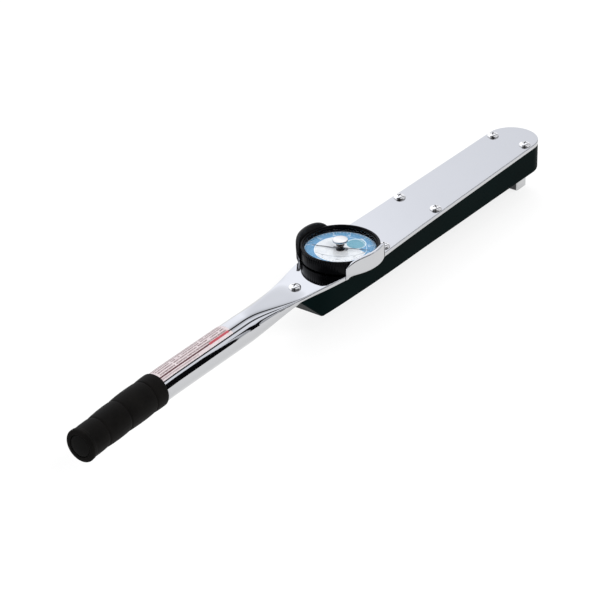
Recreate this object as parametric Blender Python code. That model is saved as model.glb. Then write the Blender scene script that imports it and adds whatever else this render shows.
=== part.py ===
"""Dial torque wrench with a half-inch square drive.

A chromed frame starts as a round handle tube and is pressed flat into a long top plate. A cast
housing under the plate holds a spring-steel beam fixed to the drive head. Under load the beam
bends, a long light lever on the head swings past the dial, and a small gear turns the needle.

Frame: origin at the centre of the square drive's end face, +X from the handle to the head,
+Y to the left of a person who holds the handle, +Z up through the dial. "Rear" is -X.
Dimensions are in millimetres and are turned into metres where meshes are made.
"""

import math

import bmesh
import bpy
from mathutils import Vector

for old in list(bpy.data.objects):
    bpy.data.objects.remove(old, do_unlink=True)

MM = 0.001
PI = math.pi
SIDES = (("left", 1), ("right", -1))       # side name and the sign of its y

# ---------------------------------------------------------------- driving dimensions (mm)
# Top plate; heights called "above the plate" are measured from its upper face
PLATE_TOP = 43.1           # upper face above the drive's end face
PLATE_T = 3.3
PLATE_BOTTOM = PLATE_TOP - PLATE_T
HEAD_R = 20.0              # round head end of the plate
HEAD_X = -5.6

# Handle tube and grip
TUBE_R = 10.6
TUBE_BORE = 7.8            # bore radius
TUBE_Z = -4.1              # tube axis above the plate
TUBE_END_X = -500.9
FLAT_START_X = -347.0      # the tube starts to flatten here
FLAT_END_X = -293.0        # and is almost flat here
SEAT_R = 9.4               # tube turned down under the grip
GRIP_X0, GRIP_X1 = -502.6, -425.9
GRIP_BORE = SEAT_R + 0.12
GROOVES = (-484.0, -464.0, -440.5)         # x of the grip's finger grooves

# Dial
DIAL_X = -227.3            # dial axis
BEZEL_R = 28.0
BEZEL_TOP = 10.3           # bezel rim above the plate
FACE_Z = 5.6               # dial face above the plate
CASE_R = 25.6
EAR_IN, EAR_OUT = 28.6, 31.0               # guard ear radii about the dial axis
EAR_TOP = 13.9

# Housing: heights above the plate, then two of them above the drive's end face
HOUSING_WALL = 2.0
HOUSING_GAP = 0.3          # gasket gap between the plate and the housing rim
RIM_Z = -PLATE_T - HOUSING_GAP
UNDERSIDE_Z = -23.6
FLOOR_Z = UNDERSIDE_Z + HOUSING_WALL
HOUSING_BOTTOM = PLATE_TOP + UNDERSIDE_Z
HOUSING_FLOOR = PLATE_TOP + FLOOR_Z
REAR_RIM_X, REAR_LOW_X = -290.0, -269.5    # the rear wall slopes between these

# Drive head
SQUARE = 12.7              # half-inch square drive, across flats
SQUARE_CORNER = 1.3
SQUARE_CHAMFER = 1.0
HUB_R = 10.0
HUB_Z0, HUB_Z1 = 23.2, 36.4
LOWER_JOURNAL, UPPER_JOURNAL = 8.7, 5.6    # radii
JOURNAL_CLEARANCE = 0.25
JOURNAL_TOP = PLATE_TOP - 2.0
BALL_R = 2.2
BALL_Z = 7.0
BALL_X = SQUARE / 2 - BALL_R + 1.0
DETENT_COIL_R = 1.45

# Measuring beam, its cross pin and its load points
BEAM_W, BEAM_H = 14.0, 12.4
BEAM_Z0 = 23.8
BEAM_Z1 = BEAM_Z0 + BEAM_H
BEAM_END_X = -177.0
BEAM_PIN_X, BEAM_PIN_Z = -10.0, BEAM_Z0 + BEAM_H / 2
LOAD_X = -170.0
LOAD_PIN_Y = 9.55
LOAD_SCREW_Y = 13.8

# Gearing
GEAR_MODULE = 0.2
PINION_TEETH = 14
PINION_R = GEAR_MODULE * PINION_TEETH / 2
SECTOR_R = -DIAL_X - PINION_R
SECTOR_TEETH = 27          # odd, so a tooth stands on the centre line
PRESSURE_ANGLE = math.radians(25)
BACKLASH = 0.08
ADDENDUM, DEDENDUM = 0.16, 0.25
ARM_Z0, ARM_Z1 = 36.6, 38.4
SHAFT_TOP = PLATE_TOP + 6.55

# Needle directions about the dial axis
POINTER_TURN = math.radians(108)
MEMORY_TURN = math.radians(-67)

# ---------------------------------------------------------------- stations and screw places
# droop of the handle's end: (x, drop); the last slope runs on past the end
SAG = ((-418.0, 0.0), (-460.0, -1.25), (-510.0, -3.95))

# top plate: (x, half width)
PLATE_STATIONS = (
    (FLAT_START_X, TUBE_R), (-330, 10.7), (-315, 11.1), (-305, 11.7), (-298, 12.3),
    (-292, 12.9), (-282, 14.4), (-273, 15.9), (-264, 17.6), (-255, 19.1), (-245, 20.5),
    (-235, 21.7), (-225, 22.5), (-215, 22.9), (-205, 22.8), (-190, 22.3), (-147, 21.4),
    (-80, 20.7), (-40, 20.3), (HEAD_X, HEAD_R),
)
# housing underside: (x, half width)
HOUSING_STATIONS = (
    (REAR_RIM_X, 12.2), (REAR_LOW_X, 15.0), (-252, 16.2), (-231, 17.0), (-208, 17.7),
    (-182, 18.0), (-144, 18.1), (-104, 18.6), (-60, 19.0), (-30, 19.4), (HEAD_X, 19.8),
)
# grip between its grooves: (x, radius)
GRIP_CROWN = (
    (GRIP_X0, 10.9), (-490.0, 11.15), (-470.0, 11.6), (-450.0, 11.85), (GRIP_X1, 11.75),
)
# cover screws: (x, y)
COVER_SCREWS = (
    (-280.6, 0.0), (-198.6, 16.6), (-198.6, -16.6), (-132.3, 15.7), (-132.3, -15.7),
    (-9.9, 14.2), (-9.9, -14.2),
)
COVER_SCREW_TURNS = (0.35, 1.1, 0.6, 0.15, 0.9, 0.5, 0.25)     # radians
# screws that fix the dial case: (x, y) from the dial axis
CASE_SCREWS = tuple(
    (18 * math.cos(PI / 6 + 2 * PI * k / 3), 18 * math.sin(PI / 6 + 2 * PI * k / 3))
    for k in range(3)
)
ARM_SCREW_X, ARM_SCREW_Y = -17.6, 8.5
BRACKET_SCREW_X, BRACKET_SCREW_Y = DIAL_X - 12.5, 6.0


# ---------------------------------------------------------------- materials
def make_material(name, colour, roughness, metallic=0.0, alpha=1.0):
    result = bpy.data.materials.new(name)
    result.use_nodes = True
    shader = result.node_tree.nodes["Principled BSDF"]
    shader.inputs["Base Color"].default_value = (*colour, 1.0)
    shader.inputs["Roughness"].default_value = roughness
    shader.inputs["Metallic"].default_value = metallic
    shader.inputs["Alpha"].default_value = alpha
    result.diffuse_color = (*colour, 1.0)
    return result


def metal(name, colour, roughness):
    return make_material(name, colour=colour, roughness=roughness, metallic=1.0)


CHROME = metal("chrome", colour=(0.82, 0.83, 0.85), roughness=0.06)
SCREW_CHROME = metal("screw_chrome", colour=(0.75, 0.74, 0.72), roughness=0.12)
STEEL = metal("ground_steel", colour=(0.56, 0.57, 0.58), roughness=0.28)
SPRING_STEEL = metal("spring_steel", colour=(0.32, 0.33, 0.35), roughness=0.35)
BRASS = metal("brass", colour=(0.78, 0.57, 0.25), roughness=0.28)
BRONZE = metal("bronze", colour=(0.55, 0.36, 0.20), roughness=0.35)
ALLOY = metal("plain_alloy", colour=(0.70, 0.71, 0.72), roughness=0.35)
BLACK_SATIN = make_material("black_satin", colour=(0.012, 0.018, 0.018), roughness=0.38)
BLACK_GLOSS = make_material("bezel_black", colour=(0.006, 0.006, 0.007), roughness=0.18)
RUBBER = make_material("grip_rubber", colour=(0.012, 0.011, 0.010), roughness=0.62)
DIAL_PRINT = make_material("dial_print", colour=(0.16, 0.42, 0.68), roughness=0.45)
CRYSTAL = make_material("crystal", colour=(0.95, 0.97, 0.98), roughness=0.03, alpha=0.25)
NEEDLE = make_material("needle_black", colour=(0.02, 0.02, 0.025), roughness=0.35)
LABEL = make_material("label_vinyl", colour=(0.90, 0.86, 0.86), roughness=0.5)
DARK_PLASTIC = make_material("dark_plastic", colour=(0.03, 0.03, 0.03), roughness=0.5)


# ---------------------------------------------------------------- curves
def smoothstep(t):
    t = min(max(t, 0.0), 1.0)
    return t * t * (3 - 2 * t)


def table(stations, x):
    """Cubic Hermite interpolation through (x, value) stations, held level beyond both ends."""
    if x <= stations[0][0]:
        return stations[0][1]
    for i, ((x0, value0), (x1, value1)) in enumerate(zip(stations, stations[1:])):
        if x <= x1:
            before = stations[max(i - 1, 0)]
            after = stations[min(i + 2, len(stations) - 1)]
            slope0 = (value1 - before[1]) / (x1 - before[0])
            slope1 = (after[1] - value0) / (after[0] - x0)
            span = x1 - x0
            t = (x - x0) / span
            return (
                (2 * t ** 3 - 3 * t ** 2 + 1) * value0
                + (t ** 3 - 2 * t ** 2 + t) * span * slope0
                + (-2 * t ** 3 + 3 * t ** 2) * value1
                + (t ** 3 - t ** 2) * span * slope1
            )
    return stations[-1][1]


def sag(x):
    """Height offset of the handle's axis at x."""
    if x > SAG[0][0]:
        return 0.0
    start = 0 if x >= SAG[1][0] else 1
    (x0, drop0), (x1, drop1) = SAG[start:start + 2]
    return drop0 + (drop1 - drop0) * (x - x0) / (x1 - x0)


def plate_half_width(x):
    return table(PLATE_STATIONS, x)


def arc(centre_x, centre_y, radius, start, end, steps):
    angles = [start + (end - start) * k / steps for k in range(steps + 1)]
    return [(centre_x + radius * math.cos(a), centre_y + radius * math.sin(a)) for a in angles]


def rounded_square(side, corner):
    offset = side / 2 - corner
    points = []
    for quarter, (x, y) in enumerate(((1, 1), (-1, 1), (-1, -1), (1, -1))):
        start = quarter * PI / 2
        points += arc(x * offset, y * offset, corner, start, start + PI / 2, 4)
    return points


# ---------------------------------------------------------------- solids, as bmeshes in mm
def loft(sections, closed=False, solid=None):
    """Joins sections of points into walls. A section of one point is a pole.

    closed=True joins the last section to the first; otherwise the ends are capped.
    """
    solid = solid or bmesh.new()
    rings = [[solid.verts.new(point) for point in section] for section in sections]
    count = max(len(ring) for ring in rings)
    pairs = list(zip(rings, rings[1:]))
    if closed:
        pairs.append((rings[-1], rings[0]))
    for low, high in pairs:
        for k in range(count):
            n = (k + 1) % count
            if len(low) == 1:
                solid.faces.new((low[0], high[k], high[n]))
            elif len(high) == 1:
                solid.faces.new((low[k], low[n], high[0]))
            else:
                solid.faces.new((low[k], low[n], high[n], high[k]))
    if not closed:
        for ring in (rings[0], rings[-1]):
            if len(ring) > 1:
                solid.faces.new(ring)
    return solid


def revolve(profile, segments, closed=False, axis="Z", centre=(0, 0, 0), solid=None):
    """Turns a profile of (radius, height) about an axis. closed=True joins its two ends."""
    sections = []
    for radius, height in profile:
        if radius < 1e-6:
            around = [(0.0, 0.0)]
        else:
            angles = [2 * PI * k / segments for k in range(segments)]
            around = [(radius * math.cos(a), radius * math.sin(a)) for a in angles]
        if axis == "X":
            points = [(height, u, v) for u, v in around]
        elif axis == "Y":
            points = [(v, height, u) for u, v in around]
        else:
            points = [(u, v, height) for u, v in around]
        sections.append([(x + centre[0], y + centre[1], z + centre[2]) for x, y, z in points])
    return loft(sections, closed, solid)


def prism(outline, z0, z1, solid=None):
    """A straight prism over a closed (x, y) outline."""
    return loft([[(x, y, z) for x, y in outline] for z in (z0, z1)], solid=solid)


def box(x0, x1, y0, y1, z0, z1, solid=None):
    return prism([(x0, y0), (x1, y0), (x1, y1), (x0, y1)], z0, z1, solid)


def rods(places, segments, solid=None):
    """Upright rods in one solid: (x, y, z0, z1, radius)."""
    solid = solid or bmesh.new()
    for x, y, z0, z1, radius in places:
        revolve([(radius, z0), (radius, z1)], segments, centre=(x, y, 0), solid=solid)
    return solid


def sagged(solid):
    for vert in solid.verts:
        vert.co.z += sag(vert.co.x)
    return solid


# ---------------------------------------------------------------- objects
def empty(name, x, y, z):
    node = place(name, None, None, (x, y, z))
    node.empty_display_size = 0.02
    return node


def place(name, mesh, parent, location, rotation=(0, 0, 0)):
    """Links an object; location (mm) and rotation are relative to the parent."""
    node = bpy.data.objects.new(name, mesh)
    bpy.context.scene.collection.objects.link(node)
    node.location = Vector(location) * MM
    node.rotation_euler = rotation
    node.parent = parent
    return node


def shade(mesh, sharp_angle):
    mesh.shade_smooth()
    mesh.set_sharp_from_angle(angle=math.radians(sharp_angle))


def add(name, solid, material=None, parent=None, location=(0, 0, 0), rotation=(0, 0, 0),
        sharp_angle=35):
    """Turns a bmesh in millimetres into an object."""
    bmesh.ops.recalc_face_normals(solid, faces=solid.faces[:])
    bmesh.ops.scale(solid, vec=(MM, MM, MM), verts=solid.verts[:])
    mesh = bpy.data.meshes.new(name)
    solid.to_mesh(mesh)
    solid.free()
    shade(mesh, sharp_angle)
    if material is not None:
        mesh.materials.append(material)
    return place(name, mesh, parent, location, rotation)


def boolean(target, tool, operation, use_self=False):
    modifier = target.modifiers.new(tool.name, "BOOLEAN")
    modifier.object = tool
    modifier.operation = operation
    modifier.solver = "EXACT"
    modifier.use_self = use_self
    tool.hide_render = True
    tool.display_type = "WIRE"


def cut(target, name, solid, use_self=False):
    """Cuts the solid out of the target; both hang on the same parent. Returns the tool."""
    tool = add(name, solid, parent=target.parent)
    boolean(target, tool, "DIFFERENCE", use_self)
    return tool


def fuse(target, name, solid):
    """Joins the solid to the target, in the target's material."""
    tool = add(name, solid, target.data.materials[0], target.parent)
    boolean(target, tool, "UNION")


def cross_recess(size, dome):
    """Two crossed bars that narrow downwards, to cut into a screw head."""
    solid = bmesh.new()
    for turned in (False, True):
        sections = []
        for length, width, z in (
            (size * 0.45, size * 0.16 * 0.75, dome - 1.5), (size, size * 0.16, dome + 0.6),
        ):
            corners = [(-length, -width), (length, -width), (length, width), (-length, width)]
            if turned:
                corners = [(-y, x) for x, y in corners]
            sections.append([(x, y, z) for x, y in corners])
        loft(sections, solid=solid)
    return solid


def screw_mesh(material, head_r, dome, shank_r, shank_length, segments, cross=0):
    """A mesh to share: domed head on height 0, shank downwards, optional cross recess."""
    profile = [
        (0, -shank_length), (shank_r - 0.3, -shank_length), (shank_r, -shank_length + 0.4),
        (shank_r, 0), (head_r - 0.15, 0), (head_r, 0.2), (head_r, 0.4),
    ]
    for k in range(1, 5):
        a = PI / 2 * k / 5
        profile.append((head_r * math.cos(a) ** 0.85, 0.4 + (dome - 0.4) * math.sin(a)))
    profile.append((0, dome))
    temporary = [add("screw_tool", revolve(profile, segments))]
    if cross:
        # the two bars of the cross overlap, so the cutter intersects itself
        recess = cross_recess(cross, dome)
        temporary.append(cut(temporary[0], "cross_tool", recess, use_self=True))

    bpy.context.view_layer.update()
    graph = bpy.context.evaluated_depsgraph_get()
    mesh = bpy.data.meshes.new_from_object(temporary[0].evaluated_get(graph))
    for node in reversed(temporary):
        bpy.data.objects.remove(node, do_unlink=True)
    mesh.materials.clear()
    mesh.materials.append(material)
    shade(mesh, sharp_angle=32)
    return mesh


DRIVE_AXIS = empty("drive_axis", 0, 0, 0)
DIAL_AXIS = empty("dial_axis", DIAL_X, 0, PLATE_TOP)
PLATE_DATUM = empty("plate_datum", 0, 0, PLATE_TOP)
BALL_AXIS = empty("ball_axis", BALL_X, 0, BALL_Z)
SHAFT_AXIS = empty("shaft_axis", DIAL_X, 0, 0)


# ---------------------------------------------------------------- frame: tube, plate, dial ears
FRAME_POINTS = 32
PLATE_CORNER, TUBE_CORNER = 0.8, 5.0       # corner radii at the plate and at the tube


def frame_section(x):
    """One closed section of the frame at x: an ellipse blended into a rounded rectangle."""
    t = (x - FLAT_START_X) / (FLAT_END_X - FLAT_START_X)
    flat = smoothstep((t - 0.2) / 0.9)
    square = smoothstep((t - 0.2) / 0.85)
    half_height = TUBE_R + (PLATE_T / 2 - TUBE_R) * flat
    centre_z = TUBE_Z + (-PLATE_T / 2 - TUBE_Z) * flat + sag(x)
    half_width = plate_half_width(x)
    if x > HEAD_X:
        half_width = math.sqrt(HEAD_R ** 2 - (x - HEAD_X) ** 2)
    if x < GRIP_X1 + 0.35:
        half_width = half_height = SEAT_R
    corner = PLATE_CORNER + (TUBE_CORNER - PLATE_CORNER) * (1 - smoothstep((t - 0.85) / 0.35))
    corner = min(corner, half_height * 0.98, half_width * 0.5)
    bevel = corner * (1 - math.sqrt(0.5))

    # a quarter of the rectangle, from the middle of the side to the middle of the flat
    quarter = [
        (half_width, 0.0), (half_width, half_height - corner),
        (half_width - bevel, half_height - bevel), (half_width - corner, half_height),
    ]
    quarter += [((half_width - corner) * (8 - k) / 5.0, half_height) for k in range(4, 9)]

    points = []
    for i in range(FRAME_POINTS):
        a = 2 * PI * i / FRAME_POINTS
        box_y, box_z = quarter[min(i % 16, 16 - i % 16)]
        if 8 < i < 24:
            box_y = -box_y
        if i >= 16:
            box_z = -box_z
        y = half_width * math.cos(a) * (1 - square) + box_y * square
        z = half_height * math.sin(a) * (1 - square) + box_z * square
        points.append((x, y, z + centre_z))
    return points


def frame_stations():
    flat_length = FLAT_END_X - FLAT_START_X
    stations = [
        TUBE_END_X, SAG[1][0], GRIP_X1 + 0.3, GRIP_X1 + 0.4, SAG[0][0], -385.0, FLAT_START_X,
    ]
    stations += [FLAT_START_X + flat_length * k / 14.0 for k in range(1, 15)]
    stations += [
        -290, -287, -284, -280, -273, -264, -255, -245, -235, -225, -215, -205, -190, -165,
        -120, -80, -40,
    ]
    head_angles = (0, 18, 34, 48, 60, 70, 78, 84)
    stations += [HEAD_X + HEAD_R * math.sin(math.radians(a)) for a in head_angles]
    return stations


def ear_top(x):
    """Height of the guard ear above the plate, x along the wrench from the dial axis."""
    return EAR_TOP * math.sqrt(1 - (abs(x) / 21.6) ** 4)


def guard_ear(side, solid):
    """A curved guard beside the bezel, with a foot that flares out of the plate's edge."""
    rear, front = math.asin(23.6 / EAR_OUT), math.asin(20.6 / EAR_OUT)
    steps = 16
    sections = []
    for k in range(steps + 1):
        u = 2 * k / steps - 1
        a = (front if u > 0 else rear) * (0.35 * math.sin(PI / 2 * u) + 0.65 * u)
        top = max(ear_top((EAR_IN + EAR_OUT) / 2 * math.sin(a) + 1.5), 3.6)
        plate_edge = plate_half_width(DIAL_X + EAR_OUT * math.sin(a)) / math.cos(a)
        base = min(plate_edge + 0.4, EAR_OUT)
        section = [     # (radius about the dial axis, z)
            (21.5, -0.4), (EAR_IN, -0.4), (EAR_IN, top - 0.7), (EAR_IN + 0.5, top),
            (EAR_OUT - 0.6, top), (EAR_OUT, top - 0.8), (EAR_OUT, 2.4),
            (base * 0.45 + EAR_OUT * 0.55, -1.6), (base, -3.0), (21.5, -3.0),
        ]
        sections.append(
            [(DIAL_X + r * math.sin(a), side * r * math.cos(a), z) for r, z in section]
        )
    loft(sections, solid=solid)


def frame_holes():
    """Through holes end at z = 3.0; the others are blind, cut from below."""
    holes = [(x, y, -6.0, 3.0, 2.0) for x, y in COVER_SCREWS]
    holes.append((DIAL_X, 0, -6.0, 3.0, 2.9))              # spindle bush
    holes.append((0, 0, -6.0, -1.5, 7.8))                  # upper bush
    for _, side in SIDES:
        holes.append((LOAD_X, side * LOAD_SCREW_Y, -6.0, -1.4, 1.3))
        holes.append((BRACKET_SCREW_X, side * BRACKET_SCREW_Y, -6.0, -1.4, 1.5))
    holes += [(DIAL_X + x, y, -6.0, 3.0, 1.3) for x, y in CASE_SCREWS]
    return rods(holes, 14)


def build_frame():
    shell = loft([frame_section(x) for x in frame_stations()])
    frame = add("frame_shell", shell, CHROME, PLATE_DATUM, sharp_angle=30)
    ears = bmesh.new()
    for _, side in SIDES:
        guard_ear(side, ears)
    fuse(frame, "ears_tool", ears)
    bore = [(TUBE_BORE, x) for x in (TUBE_END_X - 5, SAG[1][0], SAG[0][0], FLAT_START_X - 8)]
    bore.append((0, FLAT_START_X + 2))
    cut(frame, "frame_bore_tool", sagged(revolve(bore, 24, axis="X", centre=(0, 0, TUBE_Z))))
    cut(frame, "frame_holes_tool", frame_holes())


# ---------------------------------------------------------------- grip, end plug, label
def grip_radius(x):
    """Finger lobes: a gentle crown between shallow grooves, tapering to the rear."""
    marks = (GRIP_X0 - 3, *GROOVES, GRIP_X1 + 3)
    rear, front = next(pair for pair in zip(marks, marks[1:]) if x <= pair[1])
    t = (x - rear) / (front - rear)
    return table(GRIP_CROWN, x) - 0.7 * (1 - math.sin(PI * t) ** 0.5)


def build_grip():
    round_r = 2.4                          # rounding of the rear end
    lip_x = GRIP_X0 + 1.5                  # an inward lip covers the tube's end
    front_x, rear_x = GRIP_X1 - 0.6, GRIP_X0 + round_r
    steps = 24
    profile = [(GRIP_BORE, lip_x), (GRIP_BORE, SAG[1][0]), (GRIP_BORE, GRIP_X1)]
    profile.append((grip_radius(GRIP_X1) - 0.7, GRIP_X1))
    for k in range(steps + 1):
        x = front_x - (front_x - rear_x) * k / steps
        profile.append((grip_radius(x), x))
    rear_r = grip_radius(rear_x)
    for a in (0.5, 1.0, PI / 2):
        x = GRIP_X0 + round_r * (1 - math.sin(a))
        profile.append((rear_r - round_r * (1 - math.cos(a)), x))
    profile += [(7.9, GRIP_X0), (7.9, lip_x)]
    solid = sagged(revolve(profile, 28, closed=True, axis="X", centre=(0, 0, TUBE_Z)))
    add("grip", solid, RUBBER, PLATE_DATUM, sharp_angle=50)


def build_tube_end_plug():
    profile = [     # (radius, distance in front of the grip's rear end)
        (0, 0.2), (6.4, 0.3), (7.3, 0.7), (7.6, 1.5), (7.55, 12.5), (6.8, 13.5), (0, 13.5),
    ]
    profile = [(r, GRIP_X0 + x) for r, x in profile]
    solid = sagged(revolve(profile, 24, axis="X", centre=(0, 0, TUBE_Z)))
    add("tube_end_plug", solid, DARK_PLASTIC, PLATE_DATUM)


def build_handle_label():
    """A thin sheet wrapped over the tube from 38 degrees right of the top to 62 left."""
    angles = [math.radians(-38 + 100 * k / 12) for k in range(13)]
    section = [(TUBE_R + 0.06, a) for a in angles]
    section += [(TUBE_R + 0.24, a) for a in reversed(angles)]
    solid = loft([
        [(x, r * math.sin(a), TUBE_Z + sag(x) + r * math.cos(a)) for r, a in section]
        for x in (GRIP_X1 + 0.3, SAG[0][0], -357.0)
    ])
    add("handle_label", solid, LABEL, PLATE_DATUM)


# ---------------------------------------------------------------- housing under the plate
def housing_low_half(x):
    return table(HOUSING_STATIONS, x)


def housing_rim_half(x):
    under_plate = plate_half_width(x) - 0.15 - 0.65 * smoothstep(-x / 60.0)
    return min(under_plate, housing_low_half(x) + 1.6)


def housing_section(z, slope, half_width, inset):
    """Closed outline at height z: along the right side, round the head, back along the left.

    slope is the share of the rear wall's slope reached, 0 at the underside and 1 at the rim.
    """
    steps = 14
    rear_x = REAR_LOW_X + (REAR_RIM_X - REAR_LOW_X) * slope + inset
    right = []
    for k in range(steps + 1):
        x = rear_x + (HEAD_X - rear_x) * (k / steps) ** 0.9
        right.append((x, -(half_width(x) - inset)))
    nose = arc(HEAD_X, 0, half_width(HEAD_X) - inset, -PI / 2, PI / 2, 14)[1:-1]
    left = [(x, -y) for x, y in reversed(right)]
    return [(x, y, z) for x, y in right + nose + left]


def build_base_housing():
    outside = (     # z, slope, half width, inset
        (UNDERSIDE_Z, 0.0, housing_low_half, 0.7),
        (UNDERSIDE_Z + 0.8, 0.045, housing_low_half, 0.0),
        (RIM_Z, 1.0, housing_rim_half, 0.0),
    )
    inside = (
        (FLOOR_Z, 0.10, housing_low_half, HOUSING_WALL),
        (RIM_Z, 1.0, housing_rim_half, HOUSING_WALL),
        (RIM_Z + 2, 1.1, housing_rim_half, HOUSING_WALL),
    )
    solid = loft([housing_section(*level) for level in outside])
    housing = add("base_housing", solid, BLACK_SATIN, PLATE_DATUM)
    cavity = cut(housing, "cavity_tool", loft([housing_section(*level) for level in inside]))
    # screw bosses are left standing where they are cut out of the cavity
    bosses = rods([(x, y, FLOOR_Z - 1, RIM_Z + 3, 3.4) for x, y in COVER_SCREWS], 14)
    cut(cavity, "bosses_tool", bosses)

    holes = rods([(x, y, RIM_Z - 6.4, RIM_Z + 2, 1.8) for x, y in COVER_SCREWS], 12)
    rods([(0, 0, UNDERSIDE_Z - 2, FLOOR_Z + 1, 10.2)], 32, holes)      # lower bush
    cut(housing, "housing_holes_tool", holes)


def build_cover_screws():
    mesh = screw_mesh(SCREW_CHROME, head_r=4.4, dome=2.3, shank_r=1.6, shank_length=8.8,
                      segments=18, cross=2.3)
    for i, ((x, y), turn) in enumerate(zip(COVER_SCREWS, COVER_SCREW_TURNS), 1):
        place(f"cover_screw_{i}", mesh, PLATE_DATUM, (x, y, 0.06), (0, 0, turn))


# ---------------------------------------------------------------- drive head and beam
def beam_pin_hole():
    centre = (BEAM_PIN_X, 0, BEAM_PIN_Z)
    return revolve([(2.15, -16), (2.15, 16)], 16, axis="Y", centre=centre)


def drive_square():
    low = rounded_square(SQUARE - 2 * SQUARE_CHAMFER, SQUARE_CORNER * 0.7)
    full = rounded_square(SQUARE, SQUARE_CORNER)
    levels = ((low, 0.0), (full, SQUARE_CHAMFER), (full, 19.7))
    return loft([[(x, y, z) for x, y in outline] for outline, z in levels])


def build_drive_head():
    hub = [
        (0, 17.9), (LOWER_JOURNAL - 0.5, 17.9), (LOWER_JOURNAL, 18.4), (LOWER_JOURNAL, HUB_Z0),
        (HUB_R - 0.5, HUB_Z0), (HUB_R, HUB_Z0 + 0.5), (HUB_R, HUB_Z1 - 0.5),
        (HUB_R - 0.5, HUB_Z1), (UPPER_JOURNAL, HUB_Z1), (UPPER_JOURNAL, JOURNAL_TOP - 0.5),
        (UPPER_JOURNAL - 0.5, JOURNAL_TOP), (0, JOURNAL_TOP),
    ]
    head = add("drive_head", revolve(hub, 32), CHROME, DRIVE_AXIS)
    # cheeks that clasp the root of the beam
    cheeks = [
        (1.5, -6.0), (1.5, 6.0), (-3.5, 9.9), (-21, 9.9), (-22, 9.0), (-22, -9.0),
        (-21, -9.9), (-3.5, -9.9),
    ]
    fuse(head, "cheek_tool", prism(cheeks, HUB_Z0 + 0.25, HUB_Z1 - 0.25))
    fuse(head, "square_tool", drive_square())
    slot_half = BEAM_W / 2 + 0.1
    slot = box(-26, -3.0, -slot_half, slot_half, BEAM_Z0 - 0.1, HUB_Z1 + 2)
    cut(head, "slot_tool", slot)
    cut(head, "pin_hole_tool", beam_pin_hole())
    tapped = [
        (ARM_SCREW_X, side * ARM_SCREW_Y, HUB_Z1 - 7, HUB_Z1 + 2, 1.05) for _, side in SIDES
    ]
    cut(head, "tapped_tool", rods(tapped, 12))
    ball_hole_r = BALL_R + 0.12
    ball_hole = [   # (radius, x from the square's front flat)
        (0, -8.6), (1.2, -8.3), (ball_hole_r, -7.6), (ball_hole_r, 2), (0, 2),
    ]
    ball_hole = [(r, SQUARE / 2 + x) for r, x in ball_hole]
    cut(head, "ball_hole_tool", revolve(ball_hole, 24, axis="X", centre=(0, 0, BALL_Z)))


def build_measuring_beam():
    """Square root in the hub, slight waist, crowned end between the load pins."""
    half = BEAM_W / 2
    right = [
        (-3.2, -half), (-24, -half), (-30, -half + 0.3), (-160, -half + 0.3), (-164, -half),
    ]
    for a in (0.2, 0.6, 1.0):
        right.append((LOAD_X - 4 * math.sin(a), -half + 0.5 * (1 - math.cos(a))))
    right.append((BEAM_END_X, -half + 1.6))
    outline = right + [(x, -y) for x, y in reversed(right)]
    beam = add("measuring_beam", prism(outline, BEAM_Z0, BEAM_Z1), SPRING_STEEL, DRIVE_AXIS)
    cut(beam, "beam_hole_tool", beam_pin_hole())


def build_beam_pin():
    profile = [(0, -9.7), (1.6, -9.7), (2.0, -9.3), (2.0, 9.3), (1.6, 9.7), (0, 9.7)]
    solid = revolve(profile, 14, axis="Y", centre=(BEAM_PIN_X, 0, BEAM_PIN_Z))
    add("beam_pin", solid, STEEL, DRIVE_AXIS)


# ---------------------------------------------------------------- rack arm
def sector_teeth():
    """Straight-sided teeth on an arc about the drive axis, from left to right."""
    pitch = PI * GEAR_MODULE
    tooth_half = pitch / 4 - BACKLASH / 2
    root_half = tooth_half + DEDENDUM * math.tan(PRESSURE_ANGLE)
    tip_half = tooth_half - ADDENDUM * math.tan(PRESSURE_ANGLE)
    root_r, tip_r = SECTOR_R - DEDENDUM, SECTOR_R + ADDENDUM
    tooth = ((root_r, root_half), (tip_r, tip_half), (tip_r, -tip_half), (root_r, -root_half))
    last = (SECTOR_TEETH - 1) // 2
    teeth = []
    for number in range(last, -last - 1, -1):
        for r, offset in tooth:
            a = PI - (number * pitch + offset) / SECTOR_R
            teeth.append((r * math.cos(a), r * math.sin(a)))
    return teeth


def build_rack_arm():
    eye = arc(0, 0, 9.8, -PI / 2, PI / 2, 14)      # around the upper journal
    left = [
        (-4, 9.8), (-14.3, 9.8), (-15.0, 10.5), (-20.2, 10.5), (-34, 4.6), (-120, 4.0),
        (-206, 3.4), (-215, 4.6), (-221.5, 8.7),
    ]
    right = [(x, -y) for x, y in reversed(left)]
    teeth = sector_teeth()
    left_shoulder = (teeth[0][0] + 0.6, teeth[0][1] + 0.55)
    right_shoulder = (teeth[-1][0] + 0.6, teeth[-1][1] - 0.55)
    outline = eye + left + [left_shoulder] + teeth + [right_shoulder] + right
    arm = add("rack_arm", prism(outline, ARM_Z0, ARM_Z1), ALLOY, DRIVE_AXIS)

    holes = [(0, 0, UPPER_JOURNAL + JOURNAL_CLEARANCE)]    # (x, y, radius)
    holes += [(ARM_SCREW_X, side * ARM_SCREW_Y, 1.1) for _, side in SIDES]
    holes += [(-45, 0, 2.2), (-80, 0, 2.2), (-115, 0, 2.0), (-150, 0, 2.0), (-185, 0, 1.8)]
    cutters = rods([(x, y, ARM_Z0 - 2, ARM_Z1 + 2, r) for x, y, r in holes], 14)
    cut(arm, "arm_holes_tool", cutters)


def build_arm_screws():
    mesh = screw_mesh(STEEL, head_r=2.0, dome=0.9, shank_r=0.85, shank_length=7.5, segments=10)
    for name, side in SIDES:
        location = (ARM_SCREW_X, side * ARM_SCREW_Y, ARM_Z1 + 0.06)
        place(f"arm_screw_{name}", mesh, DRIVE_AXIS, location)


# ---------------------------------------------------------------- bushes of the drive head
def tube_profile(inner, outer, z0, z1):
    return [(inner, z0), (outer, z0), (outer, z1), (inner, z1)]


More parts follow.
